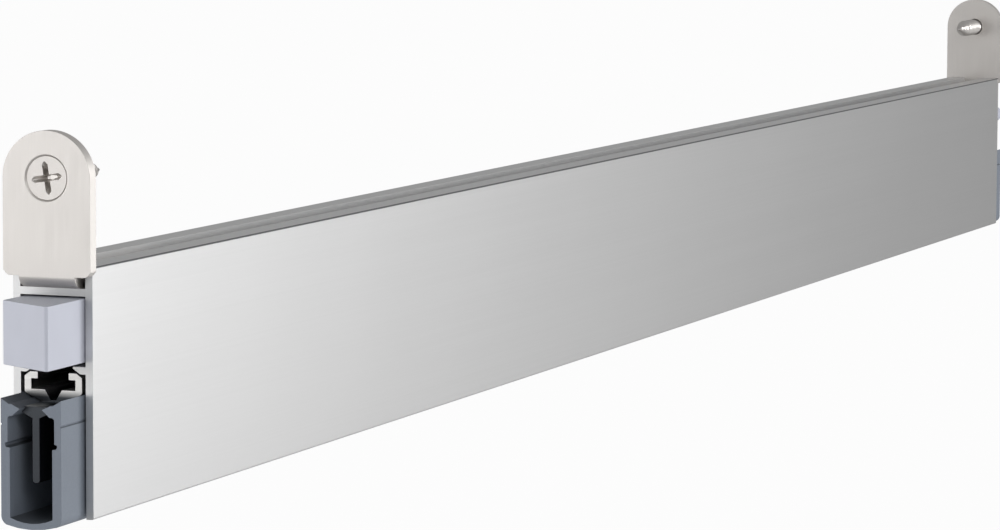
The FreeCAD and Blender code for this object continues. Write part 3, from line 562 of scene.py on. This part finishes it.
def zinc_plated_steel(tree, place):
    # Bright zinc with a clear blue passivation: faint blue and straw patches over a fine crystalline grain
    crystals = pattern(tree, place, 0.3 * MM, detail=3.0)
    patches = pattern(tree, place, 5 * MM)
    tone = add_node(tree, "ShaderNodeMapRange", {**NOISE_RANGE, "Value": patches, "To Max": 0.6})
    colours = opaque(settings().finishes.plated), opaque(settings().finishes.straw)
    relief = {"Height": crystals, "Distance": 0.01 * MM, "Strength": 0.25}
    return {**skin(tree, colours, tone, (crystals, 0.26, 0.38), relief), "Metallic": 1.0}


def tumbled_zinc_casting(tree, place):
    # Die cast and tumbled: dull grey with a grainy skin and flow marks
    grainy = pattern(tree, place, 0.45 * MM, detail=4.0)
    tone = add_node(tree, "ShaderNodeMapRange", {**NOISE_RANGE, "Value": pattern(tree, place, 4 * MM)})
    colour = settings().finishes.casting
    relief = {"Height": grainy, "Distance": 0.03 * MM, "Strength": 0.4}
    colours = opaque(colour, 0.85), opaque(colour)
    return {**skin(tree, colours, tone, (grainy, 0.45, 0.6), relief), "Metallic": 1.0}


def moulded_plastic(tree, place, colour, roughness, ior):
    """Moulded plastic: a fine spark-eroded texture, and slow flow marks that barely change the tone."""
    eroded = pattern(tree, place, 0.3 * MM, detail=3.0)
    tone = add_node(tree, "ShaderNodeMapRange", {**NOISE_RANGE, "Value": pattern(tree, place, 7 * MM)})
    relief = {"Height": eroded, "Distance": 0.01 * MM, "Strength": 0.3}
    colours = opaque(colour, 0.96), opaque(colour)
    return {**skin(tree, colours, tone, (eroded, *roughness), relief), "IOR": ior}


def moulded_nylon(tree, place):
    # Natural nylon: pale, slightly blue, waxy satin, with painted shade on its upward faces
    colours = settings().finishes
    inputs = moulded_plastic(tree, place, colours.button, (0.37, 0.47), 1.53)
    # Painted shade on the upward faces
    facing = add_node(tree, "ShaderNodeSeparateXYZ", {"Vector": place.outputs["Normal"]})
    rubbed = zone(tree, (facing.outputs["Z"], 0.8, 0.95))
    coat(tree, inputs, rubbed, colours.rubbed)
    return inputs


def moulded_acetal(tree, place):
    # Black acetal: dense, slippery, with a soft gloss
    return moulded_plastic(tree, place, settings().finishes.slider, (0.29, 0.39), 1.48)


def extruded_silicone(tree, place):
    # Dull, blue-grey silicone with faint die lines along it and a dusty bloom, and painted shade on its upper
    # faces
    colours = settings().finishes
    lines = pattern(tree, place, (90 * MM, 0.5 * MM, 0.5 * MM))
    bloom = pattern(tree, place, 9 * MM, detail=4.0)
    speckle = pattern(tree, place, 0.35 * MM)
    dusty = add_node(tree, "ShaderNodeMapRange", {**NOISE_RANGE, "Value": bloom})
    speckled = add_node(tree, "ShaderNodeMapRange", {**NOISE_RANGE, "Value": speckle, "To Max": 0.5})
    tone = add_node(tree, "ShaderNodeMath", {0: dusty, 1: 0.5, 2: speckled}, operation="MULTIPLY_ADD")
    fine = add_node(tree, "ShaderNodeBump", {"Height": speckle, "Distance": 0.01 * MM, "Strength": 0.3})
    relief = {"Height": lines, "Distance": 0.02 * MM, "Strength": 0.3, "Normal": fine}
    tones = opaque(colours.seal, 0.9), opaque(colours.seal)
    inputs = skin(tree, tones, tone, (bloom, 0.5, 0.6), relief)
    # Painted shade on the upper faces
    facing = add_node(tree, "ShaderNodeSeparateXYZ", {"Vector": place.outputs["Normal"]})
    upper = add_node(tree, "ShaderNodeMapRange", {
        "Value": facing.outputs["Z"], "From Min": 0.3, "From Max": 0.7, "To Max": 0.8})
    coat(tree, inputs, upper, colours.graphite)
    return {**inputs, "IOR": 1.41}


FINISHES = {
    "anodised_aluminium": anodised_aluminium,
    "extruded_aluminium": mill_finish_aluminium,
    "stainless_sheet": tumbled_stainless_sheet,
    "stainless_screw": headed_stainless_screw,
    "spring_steel": oiled_spring_steel,
    "zinc_plated_steel": zinc_plated_steel,
    "zinc_casting": tumbled_zinc_casting,
    "button_plastic": moulded_nylon,
    "slider_plastic": moulded_acetal,
    "silicone": extruded_silicone,
}
made_finishes = {}


def finish(slot):
    """The material of a slot, made once."""
    if slot not in made_finishes:
        make = FINISHES[slot]
        material = bpy.data.materials.new(make.__name__)
        material.use_nodes = True
        tree = material.node_tree
        tree.nodes.clear()
        place = add_node(tree, "ShaderNodeTexCoord")
        shader = add_node(tree, "ShaderNodeBsdfPrincipled", make(tree, place))
        add_node(tree, "ShaderNodeOutputMaterial", {"Surface": shader})
        made_finishes[slot] = material
    return made_finishes[slot]


# Pieces


class DOORSEAL_OT_housing(Operator):
    """Rounds and finishes the extruded housing"""

    bl_idname = "doorseal.housing"
    bl_label = "Housing"

    def execute(self, context):
        edge = settings().edges.housing
        dress_node("housing_profile", "anodised_housing", "housing", "anodised_aluminium", edge)
        return {"FINISHED"}


# A plate is made wider from this far above its tongue's underside, and what lies within this margin round the
# screw's head keeps its shape
PLATE_RISE = 2.5 * MM
HOLE_MARGIN = 0.2 * MM


class DOORSEAL_OT_brackets(Operator):
    """Brings the two folded end brackets to their thickness and width, and rounds and finishes them"""

    bl_idname = "doorseal.brackets"
    bl_label = "Brackets"

    def execute(self, context):
        forms = settings().forms
        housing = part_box("housing_profile")
        for end, seat, side in (("near", housing[0].x, -1.0), ("far", housing[1].x, 1.0)):
            node = f"{end}_bracket"
            low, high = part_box(node)
            screw_low, screw_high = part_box(f"{node}_screw")
            axis = (screw_low.z + screw_high.z) / 2
            clear = (screw_high.z - screw_low.z) / 2 + HOLE_MARGIN
            outside = low.x if side < 0 else high.x
            thicker = forms.sheet / abs(outside - seat)
            wider = forms.plate_width / (high.y - low.y)
            bracket = merged_copy(node, f"{end}_folded_bracket")

            def past_seat(place):
                return (place.x - seat) * side > WELD_DISTANCE

            def on_plate(place):
                return place.z > low.z + PLATE_RISE and math.hypot(place.y, place.z - axis) > clear

            scale_corners(bracket, past_seat, (thicker, 1.0, 1.0), (seat, 0.0, 0.0))
            scale_corners(bracket, on_plate, (1.0, wider, 1.0), (0.0, 0.0, 0.0))
            round_edges(bracket, settings().edges.bracket, segments=3)
            finish_piece(bracket, "housing", "stainless_sheet", node)
        return {"FINISHED"}


# The point narrows evenly to a blunt tip: the tip's length as a share of the point's, and its first and last
# radius as shares of the core's
TIP_LENGTH = 0.12
TIP_START = 0.25
TIP_END = 0.06


def screw_profile():
    """(distance from the face, radius) of each ring that the screw is drawn out to."""
    sizes = settings().screws
    low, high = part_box("near_bracket_screw")
    length = high.x - low.x - sizes.sunk
    head = (high.z - low.z) / 2 - sizes.sunk
    core = sizes.core / 2
    return [
        (0.0, head),
        (sizes.rim, head),
        (head - core + sizes.rim, core),
        (length - sizes.point, core),
        (length - TIP_LENGTH * sizes.point, TIP_START * core),
        (length, TIP_END * core),
    ]


def radius_at(profile, distance):
    """Radius of the screw's core at a distance from its face."""
    for (start, first), (stop, last) in zip(profile, profile[1:]):
        if distance <= stop:
            return first + (last - first) * (distance - start) / (stop - start)
    return profile[-1][1]


def turned_screw(name, origin, profile):
    """Head, core and point of a wood screw, extruded ring by ring from its face at origin along +X."""
    deselect()
    bpy.ops.mesh.primitive_circle_add(
        vertices=64, radius=profile[0][1], fill_type="NGON", location=origin,
        rotation=(0.0, -math.pi / 2, 0.0))
    piece = bpy.context.object
    piece.name = piece.data.name = name
    bpy.ops.object.transform_apply(location=True, rotation=True, scale=True)
    bpy.ops.object.mode_set(mode="EDIT")
    bpy.ops.mesh.select_all(action="SELECT")
    for (reached, radius), (distance, wanted) in zip(profile, profile[1:]):
        bpy.ops.mesh.extrude_region_move(TRANSFORM_OT_translate={"value": (distance - reached, 0.0, 0.0)})
        centre = (origin[0] + distance, origin[1], origin[2])
        narrower = wanted / radius
        bpy.ops.transform.resize(value=(1.0, narrower, narrower), center_override=centre)
    bpy.ops.mesh.select_all(action="SELECT")
    bpy.ops.mesh.normals_make_consistent(inside=False)
    bpy.ops.object.mode_set(mode="OBJECT")
    return piece


# The thread's foot as a share of its pitch, how deep it sits in the core, how far past the head's cone it
# starts, the share of its height that it has at its start and at its end, and its steps in one turn
THREAD_FOOT = 0.6
THREAD_ROOT = 0.08 * MM
THREAD_GAP = 0.3 * MM
HEIGHT_AT_START = 0.2
HEIGHT_AT_END = 0.35
TURN_STEPS = 28


def thread_ridge(name, origin, profile):
    """Rolled thread: a triangle swept round the core, rising below the head and following the point down."""
    sizes = settings().screws
    core, height = sizes.core / 2, (sizes.thread - sizes.core) / 2
    foot = THREAD_FOOT * sizes.pitch
    start, end = profile[2][0] + THREAD_GAP, profile[-2][0]
    point_start = profile[3][0]
    deselect()
    bpy.ops.mesh.primitive_circle_add(vertices=3, radius=foot / 2, fill_type="NOTHING")
    ridge = bpy.context.object
    ridge.name = ridge.data.name = name
    corners = ((0.0, -THREAD_ROOT), (foot, -THREAD_ROOT), (foot / 2, height))
    for vertex, (along, out) in zip(ridge.data.vertices, corners):
        vertex.co = Vector((along, 0.0, core + out))
    turns = int((end - start - foot) / sizes.pitch)
    apply_modifier(
        ridge, "SCREW", axis="X", angle=2 * math.pi, screw_offset=sizes.pitch, iterations=turns,
        steps=TURN_STEPS, render_steps=TURN_STEPS, use_merge_vertices=False, use_normal_calculate=True)
    bpy.ops.object.mode_set(mode="EDIT")
    bpy.ops.mesh.select_all(action="SELECT")
    bpy.ops.mesh.fill_holes(sides=3)
    bpy.ops.mesh.select_all(action="SELECT")
    bpy.ops.mesh.normals_make_consistent(inside=False)
    bpy.ops.object.mode_set(mode="OBJECT")
    low = min(vertex.co.x for vertex in ridge.data.vertices)
    for vertex in ridge.data.vertices:
        along = start + vertex.co.x - low
        out = Vector((0.0, vertex.co.y, vertex.co.z))
        proud = out.length - core
        growing = HEIGHT_AT_START + (along - start) / sizes.pitch
        closing = HEIGHT_AT_END + (1.0 - HEIGHT_AT_END) * (end - along) / (end - point_start)
        fading = min(1.0, growing, closing)
        reach = radius_at(profile, along) + (proud * fading if proud > 0 else proud)
        out = out.normalized() * reach
        vertex.co = Vector((origin[0] + along, origin[1] + out.y, origin[2] + out.z))
    return ridge


# How far the blade that cuts two arms of the recess stands proud of the head, and what share it keeps of its
# width at the arms' ends, and of its depth, span and width at its bottom
BLADE_PROUD = 0.5 * MM
ARM_END = 0.25
BLADE_BOTTOM = (1.0, 0.3, 0.55)


def cross_cutter(name, origin, turn):
    """Tapered blade that cuts two opposite arms of the recess, narrow at both arm ends."""
    sizes = settings().screws
    half_span, half_width = sizes.recess_span / 2, sizes.recess_width / 2
    straight = half_span - half_width
    deselect()
    bpy.ops.mesh.primitive_cube_add(
        size=1.0, location=(origin[0] + (sizes.recess_depth - BLADE_PROUD) / 2, origin[1], origin[2]),
        scale=(sizes.recess_depth + BLADE_PROUD, 2 * straight, 2 * half_width))
    blade = bpy.context.object
    blade.name = name
    bpy.ops.object.transform_apply(location=True, rotation=True, scale=True)
    for side in (-1.0, 1.0):
        select_faces(blade, lambda normal: normal.y * side > 0.9)
        bpy.ops.mesh.extrude_region_move(TRANSFORM_OT_translate={"value": (0.0, side * half_width, 0.0)})
        arm_end = (origin[0], origin[1] + side * half_span, origin[2])
        bpy.ops.transform.resize(value=(1.0, 1.0, ARM_END), center_override=arm_end)
    select_faces(blade, lambda normal: normal.x > 0.9)
    bottom = (origin[0] + sizes.recess_depth, origin[1], origin[2])
    bpy.ops.transform.resize(value=BLADE_BOTTOM, center_override=bottom)
    bpy.ops.object.mode_set(mode="OBJECT")
    turning = Matrix.Translation(origin) @ Matrix.Rotation(turn, 4, "X") @ Matrix.Translation(-Vector(origin))
    blade.data.transform(turning)
    return blade


class DOORSEAL_OT_bracket_screws(Operator):
    """Models the near bracket's screw with its recess and thread, and turns a copy for the far bracket"""

    bl_idname = "doorseal.bracket_screws"
    bl_label = "Bracket screws"

    def execute(self, context):
        sizes = settings().screws
        low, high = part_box("near_bracket_screw")
        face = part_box("housing_profile")[0].x - settings().forms.sheet + sizes.sunk
        origin = (face, (low.y + high.y) / 2, (low.z + high.z) / 2)
        profile = screw_profile()
        screw = turned_screw("near_countersunk_screw", origin, profile)
        for quarter in (0, 1):
            blade = cross_cutter("recess_blade", origin, quarter * math.pi / 2 - sizes.recess_turn)
            apply_modifier(screw, "BOOLEAN", operation="DIFFERENCE", solver="EXACT", object=blade)
            bpy.data.objects.remove(blade)
        round_edges(screw, sizes.rim_round, segments=3, sharper_than=40.0)
        ridge = thread_ridge("thread", origin, profile)
        apply_modifier(screw, "BOOLEAN", operation="UNION", solver="EXACT", object=ridge)
        bpy.data.objects.remove(ridge)
        shade(screw)
        pick(screw)
        bpy.ops.object.duplicate()
        far_screw = bpy.context.object
        far_screw.name = far_screw.data.name = "far_countersunk_screw"
        far_screw.data.transform(Matrix.Rotation(math.pi, 4, "Z"))
        finish_piece(screw, "housing", "stainless_screw", "near_bracket_screw")
        finish_piece(far_screw, "housing", "stainless_screw", "far_bracket_screw")
        return {"FINISHED"}


class DOORSEAL_OT_plunger(Operator):
    """Rounds and finishes the button, its lock nut and the push rod"""

    bl_idname = "doorseal.plunger"
    bl_label = "Plunger"

    def execute(self, context):
        edges = settings().edges
        dress_node("plunger_button", "moulded_button", "plunger", "button_plastic", edges.button)
        for node, name in (("plunger_lock_nut", "plated_lock_nut"), ("push_rod", "plated_push_rod")):
            dress_node(node, name, "plunger", "zinc_plated_steel", edges.fitting)
        return {"FINISHED"}


class DOORSEAL_OT_carrier(Operator):
    """Rounds and finishes the carrier that the seal hangs on"""

    bl_idname = "doorseal.carrier"
    bl_label = "Carrier"

    def execute(self, context):
        edge = settings().edges.carrier
        dress_node("carrier_rail", "mill_finish_carrier", "carrier", "extruded_aluminium", edge)
        return {"FINISHED"}


# Where the corners of the grooves in the seal's walls lie: below the housing's top, and from the middle
NOTCH_DEPTHS = (25.85 * MM, 26.55 * MM)
NOTCH_WIDTHS = (3.4 * MM, 4.4 * MM)


class DOORSEAL_OT_seal(Operator):
    """Brings the silicone seal to its length, deepens its grooves, and rounds and finishes it"""

    bl_idname = "doorseal.seal"
    bl_label = "Seal"

    def execute(self, context):
        far_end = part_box("seal_profile")[1].x
        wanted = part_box("housing_profile")[1].x + settings().forms.seal_reach
        seal = merged_copy("seal_profile", "silicone_seal")
        move_corners(seal, lambda place: place.x > 0.0, (wanted - far_end, 0.0, 0.0))
        for side in (-1.0, 1.0):

            def in_notch(place):
                level = NOTCH_DEPTHS[0] < -place.z < NOTCH_DEPTHS[1]
                return level and NOTCH_WIDTHS[0] < side * place.y < NOTCH_WIDTHS[1]

            move_corners(seal, in_notch, (0.0, side * settings().forms.seal_notch, 0.0))
        round_edges(seal, settings().edges.seal)
        finish_piece(seal, "carrier", "silicone", "seal_profile")
        return {"FINISHED"}


class DOORSEAL_OT_inner_fittings(Operator):
    """Rounds and finishes the blocks, pins, rivets and set screws inside the housing"""

    bl_idname = "doorseal.inner_fittings"
    bl_label = "Inner fittings"

    def execute(self, context):
        fittings = []
        for end in ("near", "far"):
            fittings += [
                (f"{end}_anchor_block", f"{end}_cast_anchor", "housing", "zinc_casting"),
                (f"{end}_anchor_rivet", f"{end}_closed_rivet", "housing", "extruded_aluminium"),
                (f"{end}_anchor_pin", f"{end}_fixed_pin", "housing", "zinc_plated_steel"),
                (f"{end}_carriage", f"{end}_moulded_carriage", "plunger", "slider_plastic"),
                (f"{end}_carriage_screw", f"{end}_hex_set_screw", "plunger", "zinc_plated_steel"),
                (f"{end}_carriage_pin", f"{end}_sliding_pin", "plunger", "zinc_plated_steel"),
                (f"{end}_hanger", f"{end}_cast_hanger", "hangers", "zinc_casting"),
                (f"{end}_hanger_rivet", f"{end}_spring_rivet", "hangers", "zinc_plated_steel"),
            ]
        for node, name, body, slot in fittings:
            dress_node(node, name, body, slot, settings().edges.fitting)
        return {"FINISHED"}


# How far inside the housing's far end the nub's corners are looked for
NUB_ROOT = 1.5 * MM


class DOORSEAL_OT_end_guide(Operator):
    """Moves the far end guide's nub to its place, brings it to its size, and rounds and finishes the guide"""

    bl_idname = "doorseal.end_guide"
    bl_label = "End guide"

    def execute(self, context):
        forms = settings().forms
        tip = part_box("far_end_guide")[1].x
        rod_low, rod_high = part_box("push_rod")
        rod = (rod_low.z + rod_high.z) / 2
        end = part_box("housing_profile")[1].x
        guide = merged_copy("far_end_guide", "moulded_end_guide")

        def at_tip(place):
            return place.x > tip - WELD_DISTANCE

        radius = max(vertex.co.y for vertex in guide.data.vertices if at_tip(vertex.co))

        def on_nub(place):
            return place.x > end - NUB_ROOT and math.hypot(place.y, place.z - rod) < radius + WELD_DISTANCE

        slimmer = forms.nub_radius / radius
        scale_corners(guide, on_nub, (1.0, slimmer, slimmer), (0.0, 0.0, rod))
        across, up = forms.nub_place
        move_corners(guide, on_nub, (0.0, across, up - rod))
        move_corners(guide, at_tip, (end + forms.nub_reach - tip, 0.0, 0.0))
        round_edges(guide, settings().edges.fitting)
        finish_piece(guide, "housing", "button_plastic", "far_end_guide")
        return {"FINISHED"}


# Lengths of one leaf spring from its sliding eye to its fixed one: name, start and end, the two bodies of the
# joint that it bends between, and where it follows the first and the second. All places are distances from
# the spring's middle.
SPRING_LENGTHS = (
    ("sliding_eye", -42 * MM, -26 * MM, "housing", "plunger", -27 * MM, -38.5 * MM),
    ("sliding_leg", -26 * MM, -8 * MM, "housing", "carrier", -26 * MM, -8 * MM),
    ("middle", -8 * MM, -3 * MM, "carrier", "hangers", -8 * MM, -3 * MM),
    ("riveted", -3 * MM, 8 * MM, "carrier", "hangers", 8 * MM, 3 * MM),
    ("fixed_leg", 8 * MM, 42 * MM, "housing", "carrier", 38 * MM, 8 * MM),
)
BENDS = 16


def spring_length(node, name, middle, start, stop):
    """Copy of a leaf spring from start to stop, cut across so that it can bend."""
    length = merged_copy(node, name)
    bpy.ops.object.mode_set(mode="EDIT")
    for cut, side in ((start, 1.0), (stop, -1.0)):
        bpy.ops.mesh.select_all(action="SELECT")
        bpy.ops.mesh.bisect(
            plane_co=(middle + cut, 0.0, 0.0), plane_no=(-side, 0.0, 0.0), use_fill=True, clear_outer=True)
    for index in range(1, BENDS):
        place = start + (stop - start) * index / BENDS
        bpy.ops.mesh.select_all(action="SELECT")
        bpy.ops.mesh.bisect(plane_co=(middle + place, 0.0, 0.0), plane_no=(1.0, 0.0, 0.0))
    bpy.ops.object.mode_set(mode="OBJECT")
    shade(length)
    return length


class DOORSEAL_OT_leaf_springs(Operator):
    """Cuts each leaf spring into lengths where its motion changes, and finishes them"""

    bl_idname = "doorseal.leaf_springs"
    bl_label = "Leaf springs"

    def execute(self, context):
        for end in ("near", "far"):
            node = f"{end}_leaf_spring"
            low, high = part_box(node)
            middle = (low.x + high.x) / 2
            for name, start, stop, first, second, still, carried in SPRING_LENGTHS:
                length = spring_length(node, f"{end}_spring_{name}", middle, start, stop)
                lay_finish(length, "spring_steel")
                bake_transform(length)
            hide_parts(node)
        return {"FINISHED"}


# Studio

WHITE = opaque(linear("#FFFFFF"))
MATT_WHITE = opaque(linear("#EDEDED"))
FLOOR_SIZE = 30.0
SENSOR_WIDTH = 36.0

# Name of each soft light, its place, the place along the housing that it points at, its width and height, and
# the setting that holds its power. The lengths are in metres
LIGHTS = (
    ("key_light", (-0.7, -0.5, 0.35), -0.27, (0.3, 0.3), "key_power"),
    ("front_softbox", (0.15, -0.6, 0.05), -0.25, (0.4, 0.4), "front_power"),
    ("middle_softbox", (0.5, -0.7, 0.05), -0.2, (0.6, 0.5), "middle_power"),
    ("end_softbox", (-0.5, 0.15, 0.03), -0.27, (0.2, 0.2), "end_power"),
    ("rear_softbox", (-0.36, 0.32, 0.02), -0.27, (0.2, 0.2), "rear_power"),
)


def area_light(name, place, aim, size, power):
    """Large soft light at a place, turned to a point on the housing."""
    deselect()
    bpy.ops.object.light_add(type="AREA", location=place)
    lamp = bpy.context.object
    lamp.name = lamp.data.name = name
    lamp.data.shape = "RECTANGLE"
    lamp.data.size, lamp.data.size_y = size
    lamp.data.energy = power
    lamp.visible_camera = False
    lamp.rotation_euler = (Vector((aim, 0.0, 0.0)) - Vector(place)).to_track_quat("-Z", "Y").to_euler()


def white_floor_paint():
    """Matt white paint. The camera sees it nearly as white as paper, and still with the object's shadow."""
    material = bpy.data.materials.new("matt_white_paint")
    material.use_nodes = True
    tree = material.node_tree
    tree.nodes.clear()
    paint = add_node(tree, "ShaderNodeBsdfDiffuse", {"Color": MATT_WHITE})
    paper = add_node(tree, "ShaderNodeEmission", {"Color": WHITE, "Strength": 1.05})
    path = add_node(tree, "ShaderNodeLightPath")
    share = add_node(
        tree, "ShaderNodeMath", {0: path.outputs["Is Camera Ray"], 1: 0.9}, operation="MULTIPLY")
    mix = add_node(tree, "ShaderNodeMixShader", {"Fac": share, 1: paint, 2: paper})
    add_node(tree, "ShaderNodeOutputMaterial", {"Surface": mix})
    return material


def surround_with_light(strength):
    """Even light from all round, and white where the camera looks past the floor."""
    world = bpy.data.worlds.new("studio_surround")
    bpy.context.scene.world = world
    world.use_nodes = True
    tree = world.node_tree
    tree.nodes.clear()
    path = add_node(tree, "ShaderNodeLightPath")
    level = add_node(tree, "ShaderNodeMapRange", {
        "Value": path.outputs["Is Camera Ray"], "To Min": strength, "To Max": 1.0})
    light = add_node(tree, "ShaderNodeBackground", {"Color": WHITE, "Strength": level})
    add_node(tree, "ShaderNodeOutputWorld", {"Surface": light})


def place_camera(studio):
    """Camera where the photograph was taken from."""
    yaw, pitch, roll = studio.camera_yaw, studio.camera_pitch, studio.camera_roll
    level = Vector((math.cos(yaw), math.sin(yaw), 0.0))
    ahead = math.cos(pitch) * level - math.sin(pitch) * Vector((0.0, 0.0, 1.0))
    right = ahead.cross(Vector((0.0, 0.0, 1.0))).normalized()
    up = right.cross(ahead)
    tilted_right = math.cos(roll) * right + math.sin(roll) * up
    tilted_up = math.cos(roll) * up - math.sin(roll) * right
    deselect()
    bpy.ops.object.camera_add()
    camera = bpy.context.object
    camera.name = "photo_camera"
    turn = Matrix((tilted_right, tilted_up, -ahead)).transposed().to_4x4()
    camera.matrix_world = Matrix.Translation(studio.camera_place) @ turn
    camera.data.sensor_fit = "HORIZONTAL"
    camera.data.sensor_width = SENSOR_WIDTH
    camera.data.lens = studio.lens
    camera.data.clip_start = 0.01
    camera.data.clip_end = 100.0
    bpy.context.scene.camera = camera


class DOORSEAL_OT_studio(Operator):
    """Lays a white floor and sets the surround, the lights and the camera"""

    bl_idname = "doorseal.studio"
    bl_label = "Studio"

    def execute(self, context):
        studio = settings().studio
        deselect()
        bpy.ops.mesh.primitive_plane_add(size=FLOOR_SIZE, location=(0.0, 0.0, -studio.floor_depth))
        floor = bpy.context.object
        floor.name = "studio_floor"
        floor.data.materials.append(white_floor_paint())
        surround_with_light(studio.surround)
        for name, place, aim, size, power in LIGHTS:
            area_light(name, place, aim, size, getattr(studio, power))
        place_camera(studio)
        context.scene.view_settings.view_transform = "Standard"
        return {"FINISHED"}


OPERATORS = (
    DOORSEAL_OT_housing,
    DOORSEAL_OT_brackets,
    DOORSEAL_OT_bracket_screws,
    DOORSEAL_OT_plunger,
    DOORSEAL_OT_carrier,
    DOORSEAL_OT_seal,
    DOORSEAL_OT_end_guide,
    DOORSEAL_OT_inner_fittings,
    DOORSEAL_OT_leaf_springs,
    DOORSEAL_OT_studio,
)


class DOORSEAL_PT_sidebar(Panel):
    """Sizes, colours and one button for each group of pieces"""

    bl_idname = "DOORSEAL_PT_sidebar"
    bl_label = "Door Seal"
    bl_space_type = "VIEW_3D"
    bl_region_type = "UI"
    bl_category = "Door Seal"

    def draw(self, context):
        for group in ("edges", "forms", "screws", "finishes", "studio"):
            box = self.layout.box()
            box.label(text=group.capitalize())
            values = getattr(context.scene.door_seal, group)
            for name in values.bl_rna.properties.keys():
                if name not in ("rna_type", "name"):
                    box.prop(values, name)
        for operator in OPERATORS:
            self.layout.operator(operator.bl_idname)


CLASSES = (
    EdgeSettings, FormSettings, ScrewSettings, FinishSettings, StudioSettings, DoorSealSettings, *OPERATORS,
    DOORSEAL_PT_sidebar)


def register():
    for cls in CLASSES:
        bpy.utils.register_class(cls)
    bpy.types.Scene.door_seal = PointerProperty(type=DoorSealSettings)


def unregister():
    del bpy.types.Scene.door_seal
    for cls in reversed(CLASSES):
        bpy.utils.unregister_class(cls)


def main():
    register()
    for operator in OPERATORS:
        group, name = operator.bl_idname.split(".")
        getattr(getattr(bpy.ops, group), name)()


if __name__ == "__main__":
    main()
